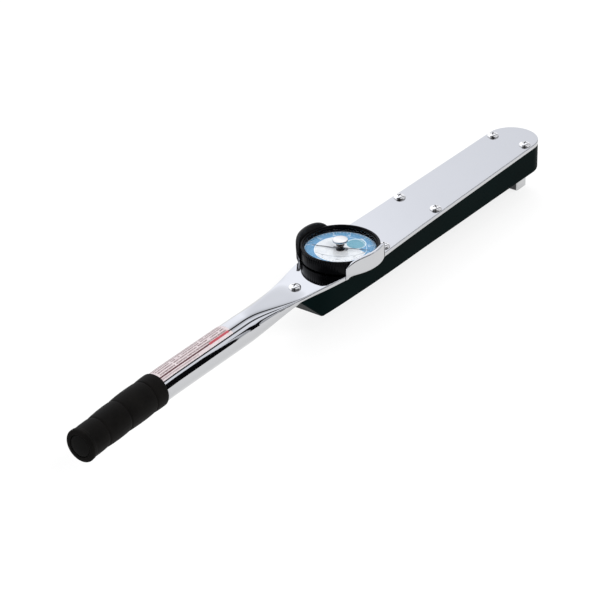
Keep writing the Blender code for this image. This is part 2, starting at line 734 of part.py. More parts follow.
def build_bushes():
    bore = LOWER_JOURNAL + JOURNAL_CLEARANCE
    flange_z = HOUSING_FLOOR + 0.1
    profile = [
        (bore, HOUSING_BOTTOM + 0.15), (10.0, HOUSING_BOTTOM + 0.15), (10.0, flange_z),
        (10.3, flange_z), (10.3, HUB_Z0 - 0.15), (bore, HUB_Z0 - 0.15),
    ]
    add("lower_bush", revolve(profile, 32, closed=True), BRONZE)

    bore = UPPER_JOURNAL + JOURNAL_CLEARANCE
    profile = tube_profile(bore, 7.5, ARM_Z1 + 0.7, PLATE_TOP - 1.65)
    add("upper_bush", revolve(profile, 32, closed=True), BRONZE)
    profile = tube_profile(bore, 7.4, ARM_Z1 + 0.12, ARM_Z1 + 0.6)
    add("thrust_washer", revolve(profile, 28, closed=True), STEEL, DRIVE_AXIS)


# ---------------------------------------------------------------- detent in the square
def build_detent_ball():
    profile = [(0, -BALL_R)]
    for k in range(1, 10):
        profile.append((BALL_R * math.sin(PI * k / 10), -BALL_R * math.cos(PI * k / 10)))
    profile.append((0, BALL_R))
    add("detent_ball", revolve(profile, 20, axis="X"), STEEL, BALL_AXIS)


def build_detent_spring():
    """A round-wire coil along X behind the ball."""
    radius, wire_r = DETENT_COIL_R, 0.27
    turns, steps, sides = 4.5, 45, 6
    x0 = SQUARE / 2 - 7.15
    x1 = BALL_X - math.sqrt(BALL_R ** 2 - radius ** 2) - 0.6
    sections = []
    for k in range(steps + 1):
        t = k / steps
        a = 2 * PI * turns * t
        centre = Vector((x0 + (x1 - x0) * t, radius * math.cos(a), radius * math.sin(a)))
        tangent = Vector((
            x1 - x0,
            -radius * math.sin(a) * 2 * PI * turns,
            radius * math.cos(a) * 2 * PI * turns,
        )).normalized()
        out = Vector((0, math.cos(a), math.sin(a)))
        across = tangent.cross(out).normalized()
        sections.append([
            centre + out * (wire_r * math.cos(2 * PI * s / sides))
            + across * (wire_r * math.sin(2 * PI * s / sides))
            for s in range(sides)
        ])
    add("detent_spring", loft(sections), SPRING_STEEL, DRIVE_AXIS, (0, 0, BALL_Z))


# ---------------------------------------------------------------- load points at the beam's end
def build_load_block(name, side):
    rear, front = LOAD_X - 7, LOAD_X + 7
    inner, outer = side * 7.35, side * 15.6
    outline = [(rear, inner), (front, inner), (front, outer), (rear, outer)]
    solid = prism(outline, HOUSING_FLOOR + 0.4, PLATE_BOTTOM - 0.1)
    block = add(f"load_block_{name}", solid, STEEL)
    y0, y1 = sorted((0, side * 10.6))
    relief = box(LOAD_X - 9, LOAD_X + 9, y0, y1, BEAM_Z1 + 0.1, PLATE_TOP)
    cut(block, f"relief_tool_{name}", relief)
    holes = rods([
        (LOAD_X, side * LOAD_PIN_Y, HOUSING_FLOOR + 2.0, BEAM_Z1 + 4, 2.45),
        (LOAD_X, side * LOAD_SCREW_Y, HOUSING_FLOOR - 2, PLATE_TOP, 1.25),
    ], 20)
    cut(block, f"block_holes_tool_{name}", holes)


def build_load_pin(name, side):
    z0, z1 = HOUSING_FLOOR + 2.15, BEAM_Z1
    profile = [(0, z0), (1.9, z0), (2.3, z0 + 0.4), (2.3, z1 - 0.4), (1.9, z1), (0, z1)]
    location = (LOAD_X, side * LOAD_PIN_Y, 0)
    add(f"load_pin_{name}", revolve(profile, 20), STEEL, location=location)


def build_load_block_screw(name, side):
    """A headless screw holds the block up against the plate."""
    z0, z1 = HOUSING_FLOOR + 0.7, HOUSING_FLOOR + 19.6
    profile = [(0, z0), (1.05, z0), (1.05, z1 - 0.4), (0.8, z1), (0, z1)]
    location = (LOAD_X, side * LOAD_SCREW_Y, 0)
    add(f"load_block_screw_{name}", revolve(profile, 10), STEEL, location=location)


# ---------------------------------------------------------------- pinion, its bracket and bush
def build_pinion_bracket():
    """A stepped brass bar under the plate that carries the foot of the pinion shaft."""
    side_view = [   # (x from the dial axis, z)
        (-17.5, PLATE_BOTTOM - 0.1), (-7.5, PLATE_BOTTOM - 0.1), (-7.5, 35.6), (4.0, 35.6),
        (4.0, 33.6), (-7.8, 33.6), (-9.2, 35.3), (-17.5, 35.3),
    ]
    solid = loft([[(DIAL_X + x, y, z) for x, z in side_view] for y in (-8.6, 8.6)])
    bracket = add("pinion_bracket", solid, BRASS)
    holes = [(DIAL_X, 0, 30, 37.2, 0.95)]
    holes += [(BRACKET_SCREW_X, side * BRACKET_SCREW_Y, 30, 46, 1.5) for _, side in SIDES]
    cut(bracket, "bracket_holes_tool", rods(holes, 16))
    # narrows the tongue under the shaft
    sides = bmesh.new()
    for y0, y1 in ((-12, -4.0), (4.0, 12)):
        box(DIAL_X - 7.0, DIAL_X + 9, y0, y1, 30, 38, sides)
    cut(bracket, "bracket_sides_tool", sides)


def build_bracket_screws():
    mesh = screw_mesh(STEEL, head_r=2.3, dome=1.2, shank_r=1.25, shank_length=6.0, segments=10)
    for name, side in SIDES:
        location = (BRACKET_SCREW_X, side * BRACKET_SCREW_Y, 35.3 - 0.06)
        place(f"bracket_screw_{name}", mesh, None, location, (PI, 0, 0))


def involute_pinion(z0, z1):
    """Spur pinion with thinned involute teeth; a tooth space faces +X at rest."""
    base_r = PINION_R * math.cos(PRESSURE_ANGLE)
    tip_r, root_r = PINION_R + ADDENDUM, PINION_R - DEDENDUM
    involute_at_pitch = math.tan(PRESSURE_ANGLE) - PRESSURE_ANGLE
    half_at_pitch = PI / (2 * PINION_TEETH) - (BACKLASH / 2) / PINION_R

    def half_angle(radius):
        """Half the tooth's thickness as an angle; radial flanks below the base circle."""
        t = math.sqrt((max(radius, base_r) / base_r) ** 2 - 1)
        return half_at_pitch + involute_at_pitch - (t - math.atan(t))

    radii = [root_r, base_r] + [base_r + (tip_r - base_r) * k / 3 for k in (1, 2, 3)]
    outline = []
    for n in range(PINION_TEETH):
        middle = 2 * PI * (n + 0.5) / PINION_TEETH
        outline += [(r, middle - half_angle(r)) for r in radii]
        outline += [(r, middle + half_angle(r)) for r in reversed(radii)]
    return prism([(r * math.cos(a), r * math.sin(a)) for r, a in outline], z0, z1)


def build_pinion_shaft():
    profile = [
        (0, 33.8), (0.35, 33.8), (0.65, 34.1), (0.65, 35.9), (1.0, 36.0), (1.0, ARM_Z1 + 0.5),
        (1.0, PLATE_BOTTOM - 0.3), (0.95, PLATE_BOTTOM - 0.2), (0.95, SHAFT_TOP - 0.2),
        (0.8, SHAFT_TOP), (0, SHAFT_TOP),
    ]
    shaft = add("pinion_shaft", revolve(profile, 16), STEEL, SHAFT_AXIS)
    fuse(shaft, "pinion_tool", involute_pinion(ARM_Z0 - 0.4, ARM_Z1 + 0.3))


def build_spindle_bush():
    profile = [
        (1.25, -PLATE_T + 0.2), (2.6, -PLATE_T + 0.2), (2.6, 0.4), (4.0, 0.4), (4.0, 0.95),
        (1.25, 0.95),
    ]
    add("spindle_bush", revolve(profile, 20, closed=True), BRASS, DIAL_AXIS)


# ---------------------------------------------------------------- dial case, fixed on the plate
def build_dial_case():
    """A shallow cup with a groove round its outside."""
    profile = [
        (4.3, 0.25), (CASE_R - 1.0, 0.25), (CASE_R, 1.0), (CASE_R, 1.8), (CASE_R - 0.7, 1.9),
        (CASE_R - 0.7, 2.9), (CASE_R, 3.0), (CASE_R, 4.1), (CASE_R - 1.4, 4.1),
        (CASE_R - 1.4, 1.3), (4.3, 1.3),
    ]
    case = add("dial_case", revolve(profile, 32, closed=True), DARK_PLASTIC, DIAL_AXIS)
    cut(case, "case_holes_tool", rods([(x, y, -1, 3, 1.3) for x, y in CASE_SCREWS], 14))


def build_case_screws():
    mesh = screw_mesh(STEEL, head_r=2.4, dome=1.0, shank_r=1.0, shank_length=4.0, segments=10)
    for i, (x, y) in enumerate(CASE_SCREWS, 1):
        place(f"case_screw_{i}", mesh, DIAL_AXIS, (x, y, 1.36))


def build_hairspring():
    """Flat spiral between the shaft and the case."""
    turns, steps = 3.25, 60
    strip = ((-0.09, 2.2), (0.09, 2.2), (0.09, 2.9), (-0.09, 2.9))     # (radial offset, z)
    sections = []
    for k in range(steps + 1):
        t = k / steps
        a = 2 * PI * turns * t
        r = 1.35 + 4.2 * t
        sections.append([((r + w) * math.cos(a), (r + w) * math.sin(a), z) for w, z in strip])
    add("hairspring", loft(sections), SPRING_STEEL, DIAL_AXIS)


# ---------------------------------------------------------------- bezel group, turns to set zero
def build_bezel_group():
    bezel = [
        (BEZEL_R, 1.1), (BEZEL_R, BEZEL_TOP - 0.5), (BEZEL_R - 0.25, BEZEL_TOP - 0.1),
        (BEZEL_R - 0.55, BEZEL_TOP), (26.5, BEZEL_TOP), (26.15, BEZEL_TOP - 0.3),
        (26.15, 7.35), (25.2, 7.2), (25.2, 5.8), (26.15, 5.8), (26.15, 2.95), (26.6, 2.85),
        (26.6, 2.05), (26.15, 1.95), (26.15, 0.7), (BEZEL_R - 0.5, 0.7),
    ]
    lens_ring = [(24.9, 8.75), (25.95, 8.75), (25.95, 9.35), (25.4, 9.35)]
    for name, profile, segments, material in (
        ("bezel_ring", bezel, 48, BLACK_GLOSS),
        ("bezel_snap_ring", tube_profile(25.1, 26.4, 2.1, 2.8), 40, SPRING_STEEL),
        ("dial_face", tube_profile(2.1, 25.9, FACE_Z - 0.8, FACE_Z), 48, DIAL_PRINT),
        ("lens", tube_profile(1.95, 25.9, 7.5, 8.6), 48, CRYSTAL),
        ("lens_ring", lens_ring, 48, BLACK_GLOSS),
    ):
        add(name, revolve(profile, segments, closed=True), material, DIAL_AXIS)


def build_friction_spring():
    """Wave spring under the dial face that gives the bezel its friction."""
    count = 36
    sections = []
    for k in range(count):
        a = 2 * PI * k / count
        wave = 0.13 * math.cos(6 * a)
        sections.append([
            (r * math.cos(a), r * math.sin(a), z + wave)
            for r, z in tube_profile(22.0, 23.6, 4.28, 4.53)
        ])
    add("friction_spring", loft(sections, closed=True), SPRING_STEEL, DIAL_AXIS)


# ---------------------------------------------------------------- needles and knob
def needle(hub_r, length, tail, width, z0, z1):
    """A round hub with a tapered pointer along +X and a short tail."""
    a = math.asin(width / 2 / hub_r)
    outline = [(length, 0.09)]
    outline += arc(0, 0, hub_r, a, PI - a * 1.4, 10)
    outline += [(-tail, width * 0.8), (-tail, -width * 0.8)]
    outline += arc(0, 0, hub_r, PI + a * 1.4, 2 * PI - a, 10)
    outline += [(length, -0.09)]
    return prism(outline, z0, z1)


def build_needles():
    solid = needle(hub_r=2.3, length=20.5, tail=5.5, width=1.1, z0=6.0, z1=6.3)
    pointer = add("main_pointer", solid, NEEDLE, DIAL_AXIS, rotation=(0, 0, POINTER_TURN))
    cut(pointer, "pointer_hole_tool", rods([(0, 0, 5, 7.2, 1.05)], 16))

    solid = needle(hub_r=2.6, length=21.0, tail=5.0, width=1.0, z0=6.8, z1=7.1)
    memory = add("memory_needle", solid, NEEDLE, DIAL_AXIS, rotation=(0, 0, MEMORY_TURN))
    cut(memory, "memory_hole_tool", rods([(0, 0, 6.4, 7.6, 1.65)], 16))


def build_memory_knob():
    knob_r = 5.6
    profile = [
        (0, 6.72), (1.3, 6.72), (1.5, 6.9), (1.5, 8.85), (2.9, 8.85), (2.9, 9.6), (2.3, 10.1),
        (2.3, 11.8), (knob_r - 0.3, 12.0), (knob_r, 12.3), (knob_r, 13.2),
        (knob_r - 0.35, 13.55), (0, 13.65),
    ]
    add("memory_knob", revolve(profile, 32), CHROME, DIAL_AXIS)


# ---------------------------------------------------------------- build
build_frame()
build_grip()
build_tube_end_plug()
build_handle_label()
build_base_housing()
build_cover_screws()
build_drive_head()
build_measuring_beam()
build_beam_pin()
build_rack_arm()
build_arm_screws()
build_bushes()
build_detent_ball()
build_detent_spring()
for side_name, side_sign in SIDES:
    build_load_block(side_name, side_sign)
    build_load_pin(side_name, side_sign)
    build_load_block_screw(side_name, side_sign)
build_pinion_bracket()
build_bracket_screws()
build_pinion_shaft()
build_spindle_bush()
build_dial_case()
build_case_screws()
build_hairspring()
build_bezel_group()
build_friction_spring()
build_needles()
build_memory_knob()
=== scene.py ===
"""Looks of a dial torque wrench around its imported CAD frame.

Lengths are millimetres unless a note says metres; mesh_object() turns them into metres. The origin
is at the drive square's end face. +X (front) points to the head, the handle runs towards -X (rear),
+Z is up, and left is +Y.
"""
from math import asin, cos, degrees, exp, hypot, pi, radians, sin, sqrt, tan

import bmesh
import bpy
from mathutils import Matrix, Vector


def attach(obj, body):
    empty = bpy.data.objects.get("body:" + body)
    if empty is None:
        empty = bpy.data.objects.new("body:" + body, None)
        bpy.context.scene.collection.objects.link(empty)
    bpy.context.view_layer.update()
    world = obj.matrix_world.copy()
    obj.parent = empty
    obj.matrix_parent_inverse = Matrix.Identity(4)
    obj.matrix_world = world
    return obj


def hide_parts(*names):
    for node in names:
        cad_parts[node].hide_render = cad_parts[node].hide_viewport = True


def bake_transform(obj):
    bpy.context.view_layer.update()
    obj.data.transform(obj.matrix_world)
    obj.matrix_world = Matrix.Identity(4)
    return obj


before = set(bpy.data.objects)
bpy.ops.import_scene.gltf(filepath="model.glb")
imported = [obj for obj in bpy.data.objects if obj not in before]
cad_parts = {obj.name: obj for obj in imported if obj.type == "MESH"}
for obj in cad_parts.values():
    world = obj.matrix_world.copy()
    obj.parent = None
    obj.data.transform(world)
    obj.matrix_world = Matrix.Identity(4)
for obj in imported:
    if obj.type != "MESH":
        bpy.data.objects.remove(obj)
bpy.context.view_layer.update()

MM = 0.001

# ------------------------------------------------------------------ driving dimensions
PLATE_TOP, PLATE_THICK = 43.1, 3.3
HEAD_X, HEAD_R = -5.6, 20.0                   # centre and radius of the half-round nose
TUBE_R, TUBE_BORE, TUBE_END_X = 10.6, 7.8, -500.9
TUBE_Z = -4.1                                 # tube axis, from the plate's top
TUBE_AXIS = (0, 0, PLATE_TOP + TUBE_Z)
FLAT_START_X, FLAT_END_X = -347.0, -293.0     # the tube flattens into the plate between these
SEAT_R, SHOULDER_X = 9.4, -429.4              # the tube steps down to the grip's seat
GRIP_X0, GRIP_X1 = -502.6, -425.9
SAG = ((-418.0, 0.0), (-460.0, -1.25), (-510.0, -3.95))    # x, drop of the handle's axis
DIAL_X = -227.3
DIAL = (DIAL_X, 0, PLATE_TOP)
BEZEL_R, BEZEL_TOP, FACE_Z = 28.0, 10.3, 5.6  # heights from the plate's top
HOUSING_DEPTH, HOUSING_WALL, HOUSING_GAP = 23.6, 2.0, 0.3
LOAD_X = -170.0
POINTER_TURN, MEMORY_TURN = radians(108), radians(-67)

# x, half width
PLATE_STATIONS = (
    (FLAT_START_X, TUBE_R), (-330, 10.7), (-315, 11.1), (-305, 11.7), (-298, 12.3), (-292, 12.9),
    (-282, 14.4), (-273, 15.9), (-264, 17.6), (-255, 19.1), (-245, 20.5), (-235, 21.7),
    (-225, 22.5), (-215, 22.9), (-205, 22.8), (-190, 22.3), (-147, 21.4), (-80, 20.7), (-40, 20.3),
    (HEAD_X, HEAD_R),
)
HOUSING_STATIONS = (
    (-290, 12.2), (-269.5, 15.0), (-252, 16.2), (-231, 17.0), (-208, 17.7), (-182, 18.0),
    (-144, 18.1), (-104, 18.6), (-60, 19.0), (-30, 19.4), (HEAD_X, 19.8),
)
# x, y
COVER_SCREWS = (
    (-280.6, 0.0), (-198.6, 16.6), (-198.6, -16.6), (-132.3, 15.7), (-132.3, -15.7),
    (-9.9, 14.2), (-9.9, -14.2),
)
CASE_SCREW_PITCH_R, CASE_HOLE_R = 18, 1.3
CASE_SCREWS = [
    (
        DIAL_X + CASE_SCREW_PITCH_R * cos(pi / 6 + 2 * pi * k / 3),
        CASE_SCREW_PITCH_R * sin(pi / 6 + 2 * pi * k / 3),
    )
    for k in range(3)
]


# ------------------------------------------------------------------ curves
def smooth(t):
    t = min(max(t, 0.0), 1.0)
    return t * t * (3 - 2 * t)


def curve_at(stations, x):
    """Value at x of a Hermite curve through (x, value) stations, level past the ends."""
    if x <= stations[0][0]:
        return stations[0][1]
    for i, ((x0, y0), (x1, y1)) in enumerate(zip(stations, stations[1:])):
        if x <= x1:
            before = stations[max(i - 1, 0)]
            after = stations[min(i + 2, len(stations) - 1)]
            slope0 = (y1 - before[1]) / (x1 - before[0])
            slope1 = (after[1] - y0) / (after[0] - x0)
            span = x1 - x0
            t = (x - x0) / span
            return (
                (2 * t ** 3 - 3 * t ** 2 + 1) * y0 + (t ** 3 - 2 * t ** 2 + t) * span * slope0
                + (-2 * t ** 3 + 3 * t ** 2) * y1 + (t ** 3 - t ** 2) * span * slope1
            )
    return stations[-1][1]


def sag(x):
    """Height change of the handle's axis at x, zero in front of the first bend."""
    if x > SAG[0][0]:
        return 0.0
    for (x0, z0), (x1, z1) in zip(SAG, SAG[1:]):
        drop = z0 + (z1 - z0) * (x - x0) / (x1 - x0)
        if x >= x1:
            break
    return drop


def plate_half_width(x):
    return curve_at(PLATE_STATIONS, x)


def arc(centre_x, centre_y, radius, start, end, steps):
    angles = [start + (end - start) * k / steps for k in range(steps + 1)]
    return [(centre_x + radius * cos(a), centre_y + radius * sin(a)) for a in angles]


def rounded_square(side, corner):
    half = side / 2 - corner
    quarters = ((half, half, 0), (-half, half, pi / 2), (-half, -half, pi), (half, -half, 3 * pi / 2))
    return [p for x, y, start in quarters for p in arc(x, y, corner, start, start + pi / 2, 8)]


def rounded(points, steps=4):
    """A closed profile of (radius, height, fillet) corners, with the fillets worked in."""
    profile = []
    for i, (radius, height, fillet) in enumerate(points):
        if fillet <= 0:
            profile.append((radius, height))
            continue
        corner = Vector((radius, height))
        before = Vector(points[i - 1][:2]) - corner
        after = Vector(points[(i + 1) % len(points)][:2]) - corner
        half = before.angle(after) / 2
        reach = min(fillet / tan(half), before.length * 0.49, after.length * 0.49)
        fillet = reach * tan(half)
        before_way, after_way = before.normalized(), after.normalized()
        centre = corner + (before_way + after_way).normalized() * (fillet / sin(half))
        start = corner + before_way * reach - centre
        end = corner + after_way * reach - centre
        sweep = start.angle(end)
        for k in range(steps + 1):
            t = k / steps
            spoke = (start * sin((1 - t) * sweep) + end * sin(t * sweep)) / sin(sweep)
            profile.append(tuple(centre + spoke))
    return profile


# ------------------------------------------------------------------ solids (BMesh, millimetres)
def walls(solid, rings, closed=False, caps=True):
    """Faces between successive rings of vertices. A ring of one vertex is a tip."""
    count = max(len(ring) for ring in rings)
    pairs = list(zip(rings, rings[1:]))
    if closed:
        pairs.append((rings[-1], rings[0]))
    for one, two in pairs:
        for k in range(count):
            after = (k + 1) % count
            if len(one) == 1:
                solid.faces.new((one[0], two[k], two[after]))
            elif len(two) == 1:
                solid.faces.new((one[k], one[after], two[0]))
            else:
                solid.faces.new((one[k], one[after], two[after], two[k]))
    if caps and not closed:
        for ring in (rings[0], rings[-1]):
            if len(ring) > 1:
                solid.faces.new(ring)
    return solid


def loft(outlines, solid=None, closed=False):
    """A solid through successive outlines of (x, y, z) points."""
    solid = solid or bmesh.new()
    rings = [[solid.verts.new(point) for point in outline] for outline in outlines]
    return walls(solid, rings, closed)


def revolve(profile, segments, ring=False, axis="Z", solid=None, centre=(0, 0, 0), wave=None):
    """Turns (radius, height) points about an axis; ring closes the profile.

    wave(angle, radius, height) gives a change of radius.
    """
    outlines = []
    for radius, height in profile:
        if radius < 1e-6:
            around = [(0.0, 0.0, height)]
        else:
            around = []
            for k in range(segments):
                angle = 2 * pi * k / segments
                reach = radius + (wave(angle, radius, height) if wave else 0.0)
                around.append((reach * cos(angle), reach * sin(angle), height))
        if axis == "X":
            around = [(h, a, b) for a, b, h in around]
        elif axis == "Y":
            around = [(b, h, a) for a, b, h in around]
        outlines.append([(x + centre[0], y + centre[1], z + centre[2]) for x, y, z in around])
    return loft(outlines, solid, ring)


def prism(outline, z0, z1):
    return loft([[(x, y, z) for x, y in outline] for z in (z0, z1)])


def soft_prism(outline, z0, z1, edge=0.05, steps=2):
    """A prism on a counter-clockwise outline, its top and bottom edges rounded by insetting."""
    inward = []
    for i in range(len(outline)):
        before_x, before_y = outline[i - 1]
        after_x, after_y = outline[(i + 1) % len(outline)]
        along_x, along_y = after_x - before_x, after_y - before_y
        length = hypot(along_x, along_y)
        inward.append((-along_y / length, along_x / length))
    levels = []
    for k in range(steps + 1):
        angle = pi / 2 * k / steps
        levels.append((edge * (1 - sin(angle)), z0 + edge * (1 - cos(angle))))
    levels += [(inset, z0 + z1 - z) for inset, z in reversed(levels)]
    return loft([
        [(x + nx * inset, y + ny * inset, z) for (x, y), (nx, ny) in zip(outline, inward)]
        for inset, z in levels
    ])


def rods(places, segments=24, solid=None):
    """Upright cylinders at (x, y, bottom, top, radius)."""
    solid = solid or bmesh.new()
    for x, y, z0, z1, radius in places:
        revolve([(radius, z0), (radius, z1)], segments, solid=solid, centre=(x, y, 0))
    return solid


def sagged(solid):
    for vertex in solid.verts:
        vertex.co.z += sag(vertex.co.x)
    return solid


# ------------------------------------------------------------------ objects
def link(name, data):
    node = bpy.data.objects.new(name, data)
    bpy.context.scene.collection.objects.link(node)
    return node


def shade_mesh(mesh, sharp):
    mesh.shade_smooth()
    mesh.set_sharp_from_angle(angle=radians(sharp))


def mesh_object(name, solid, sharp=38):
    """Object in metres from a solid; edges over `sharp` degrees stay sharp."""
    bmesh.ops.recalc_face_normals(solid, faces=solid.faces[:])
    bmesh.ops.scale(solid, vec=(MM, MM, MM), verts=solid.verts[:])
    mesh = bpy.data.meshes.new(name)
    solid.to_mesh(mesh)
    solid.free()
    shade_mesh(mesh, sharp)
    return link(name, mesh)


def boolean(node, tool, operation="DIFFERENCE", sharp=38):
    """Bakes a boolean with the tool object into the node's mesh and removes the tool."""
    modifier = node.modifiers.new("cut", "BOOLEAN")
    modifier.object = tool
    modifier.operation = operation
    modifier.solver = "EXACT"
    bpy.context.view_layer.update()
    depsgraph = bpy.context.evaluated_depsgraph_get()
    mesh = bpy.data.meshes.new_from_object(node.evaluated_get(depsgraph))
    node.modifiers.clear()
    node.data = mesh
    shade_mesh(mesh, sharp)
    bpy.data.objects.remove(tool, do_unlink=True)


def cut(node, solid, sharp=38):
    boolean(node, mesh_object("tool", solid), sharp=sharp)


def join(node, solid, sharp):
    boolean(node, mesh_object("tool", solid), "UNION", sharp)


def finish_piece(node, mat, body, slot, *replaced, weighted=True, at=None, turn=0.0):
    node.data.materials.clear()
    node.data.materials.append(mat)
    if weighted:
        modifier = node.modifiers.new("weighted normals", "WEIGHTED_NORMAL")
        modifier.keep_sharp = True
        modifier.weight = 80
    if at is not None:
        node.location = Vector(at) * MM
        node.rotation_euler = (0, 0, turn)
    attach(node, body)
    if replaced:
        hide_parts(*replaced)
    return node


def finish_spring(node, replaced):
    """A steel piece in spring steel, baked in place, hiding the CAD part it stands for."""
    node.data.materials.clear()
    node.data.materials.append(SPRING)
    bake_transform(node)
    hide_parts(replaced)


def paint(node, mat, chosen):
    """A second material for the faces where chosen(centre in metres, normal) holds."""
    node.data.materials.append(mat)
    for face in node.data.polygons:
        if chosen(face.center, face.normal):
            face.material_index = 1


# ------------------------------------------------------------------ node trees
class Net:
    """Short calls for building a node tree. Most return the output socket."""

    def __init__(self, tree):
        self.tree = tree

    def node(self, kind, **settings):
        made = self.tree.nodes.new(kind)
        for key, value in settings.items():
            setattr(made, key, value)
        return made

    def put(self, target, value):
        """Links a socket, or sets a value; a three-part colour gets full alpha."""
        if isinstance(value, bpy.types.NodeSocket):
            self.tree.links.new(value, target)
            return
        if hasattr(value, "__len__") and len(value) == 3 and len(target.default_value) == 4:
            value = (*value, 1.0)
        target.default_value = value

    def fill(self, made, *values):
        for socket, value in zip(made.inputs, values):
            self.put(socket, value)
        return made.outputs[0]

    def math(self, operation, *values):
        return self.fill(self.node("ShaderNodeMath", operation=operation), *values)

    def plus(self, a, b):
        return self.math("ADD", a, b)

    def minus(self, a, b):
        return self.math("SUBTRACT", a, b)

    def times(self, a, b):
        return self.math("MULTIPLY", a, b)

    def above(self, a, b):
        return self.math("GREATER_THAN", a, b)

    def below(self, a, b):
        return self.math("LESS_THAN", a, b)

    def near(self, a, b, within):
        return self.math("COMPARE", a, b, within)

    def between(self, a, low, high):
        return self.times(self.above(a, low), self.below(a, high))

    def length(self, a, b):
        return self.math("SQRT", self.plus(self.times(a, a), self.times(b, b)))

    def vector_math(self, operation, vector, other):
        made = self.node("ShaderNodeVectorMath", operation=operation)
        self.put(made.inputs[0], vector)
        self.put(made.inputs["Scale" if operation == "SCALE" else 1], other)
        return made.outputs["Value" if operation == "DOT_PRODUCT" else "Vector"]

    def mix(self, share, first, second):
        made = self.node("ShaderNodeMix", data_type="RGBA")
        self.put(made.inputs[0], share)
        self.put(made.inputs[6], first)
        self.put(made.inputs[7], second)
        return made.outputs[2]

    def map(self, value, span=(0.3, 0.7), to=(0.0, 1.0), curve="LINEAR"):
        """Maps a span, by default the middle of a noise's range, to another."""
        made = self.node("ShaderNodeMapRange", interpolation_type=curve)
        return self.fill(made, value, *span, *to)

    def ramp(self, share, stops):
        """Grey ramp through (position, value) stops."""
        made = self.node("ShaderNodeValToRGB")
        elements = made.color_ramp.elements
        while len(elements) < len(stops):
            elements.new(0.5)
        for element, (position, value) in zip(elements, stops):
            element.position = position
            element.color = (value, value, value, 1.0)
        return self.fill(made, share)

    def place(self, kind="Object"):
        return self.node("ShaderNodeTexCoord").outputs[kind]

    def coords(self, scale=(1, 1, 1)):
        made = self.node("ShaderNodeMapping")
        self.put(made.inputs["Vector"], self.place())
        made.inputs["Scale"].default_value = scale
        return made.outputs[0]

    def axes(self, vector):
        made = self.node("ShaderNodeSeparateXYZ")
        self.put(made.inputs[0], vector)
        return made.outputs[0], made.outputs[1], made.outputs[2]

    def vector(self, x, y):
        return self.fill(self.node("ShaderNodeCombineXYZ"), x, y)

    def noise(self, scale, vector=None, detail=3.0, rough=0.5, distortion=0.0):
        made = self.node("ShaderNodeTexNoise")
        self.put(made.inputs["Scale"], scale)
        self.put(made.inputs["Detail"], detail)
        self.put(made.inputs["Roughness"], rough)
        self.put(made.inputs["Distortion"], distortion)
        self.put(made.inputs["Vector"], self.coords() if vector is None else vector)
        return made.outputs["Fac"]

    def bump(self, height, strength, distance):
        made = self.node("ShaderNodeBump")
        self.put(made.inputs["Strength"], strength)
        self.put(made.inputs["Distance"], distance)
        self.put(made.inputs["Height"], height)
        return made.outputs[0]

    def bsdf(self, **values):
        made = self.node("ShaderNodeBsdfPrincipled")
        for key, value in values.items():
            self.put(made.inputs[key.replace("_", " ")], value)
        return made

    def emission(self, colour):
        made = self.node("ShaderNodeEmission")
        self.put(made.inputs[0], colour)
        return made

    def mix_shaders(self, share, first, second):
        made = self.node("ShaderNodeMixShader")
        self.fill(made, share, first.outputs[0], second.outputs[0])
        return made


def start_net(owner, output_kind):
    """Empties the owner's node tree; returns it as a Net, and its output node."""
    owner.use_nodes = True
    owner.node_tree.nodes.clear()
    net = Net(owner.node_tree)
    return net, net.node(output_kind)


def shade(name, build):
    mat = bpy.data.materials.new(name)
    net, output = start_net(mat, "ShaderNodeOutputMaterial")
    net.put(output.inputs[0], build(net).outputs[0])
    return mat


def dimmed(colour, share):
    return tuple(c * share for c in colour)


# ------------------------------------------------------------------ metals, enamels and rubber
def chrome(name, colour, rough, smudge, wave=0.0):
    """Bright chrome plate: faint waviness, hair scratches along X and smudges."""

    def build(net):
        smear = net.noise(38.0, detail=4.0, rough=0.6, distortion=0.6)
        scratch = net.noise(1.0, net.coords(scale=(160, 2600, 2600)), detail=2.0)
        roughness = net.plus(
            net.map(smear, (0.35, 0.75), to=(rough * 0.7, rough + smudge)),
            net.map(scratch, (0.62, 0.8), to=(0.0, 0.025)),
        )
        tint = net.mix(net.map(smear, (0.3, 0.8), to=(0.0, 0.25)), colour, dimmed(colour, 0.93))
        shader = net.bsdf(Metallic=1.0, Roughness=roughness, Base_Color=tint)
        if wave:
            waviness = net.bump(net.noise(26.0, detail=1.0), strength=wave, distance=0.0006)
            net.put(shader.inputs["Normal"], waviness)
        return shader

    return shade(name, build)


def metal(name, colour, rough, grain=(900, 900, 60)):
    """Machined or rolled metal with directional grain, slight stain and colour drift."""

    def build(net):
        lines = net.noise(1.0, net.coords(scale=grain))
        stain = net.noise(120.0, detail=5.0, rough=0.65)
        return net.bsdf(
            Metallic=1.0,
            Base_Color=net.mix(net.map(stain, (0.35, 0.7)), dimmed(colour, 0.75), colour),
            Roughness=net.map(lines, to=(rough * 0.75, rough * 1.3)),
            Normal=net.bump(lines, strength=0.15, distance=0.00003),
        )

    return shade(name, build)


def black_satin(name, colour, rough, specular, grain, strength, distance, edge_colour=None):
    """Enamel or moulding: fine peel grain, soft sheen changes and, if asked, thin rubbed edges."""

    def build(net):
        peel = net.noise(grain, rough=0.55)
        pits = net.noise(grain * 3.1, detail=2.0)
        drift = net.noise(24.0)
        height = net.plus(net.times(peel, 0.7), net.times(pits, 0.3))
        tint = net.mix(net.map(drift), dimmed(colour, 0.8), dimmed(colour, 1.25))
        if edge_colour:
            pointiness = net.node("ShaderNodeNewGeometry").outputs["Pointiness"]
            rub = net.times(
                net.map(pointiness, (0.53, 0.60)), net.map(pits, (0.4, 0.6), to=(0.2, 1.0)))
            tint = net.mix(net.times(rub, 0.5), tint, edge_colour)
        return net.bsdf(
            Base_Color=tint, Roughness=net.map(drift, to=(rough * 0.88, rough * 1.12)),
            Specular_IOR_Level=specular, Normal=net.bump(height, strength, distance),
        )

    return shade(name, build)


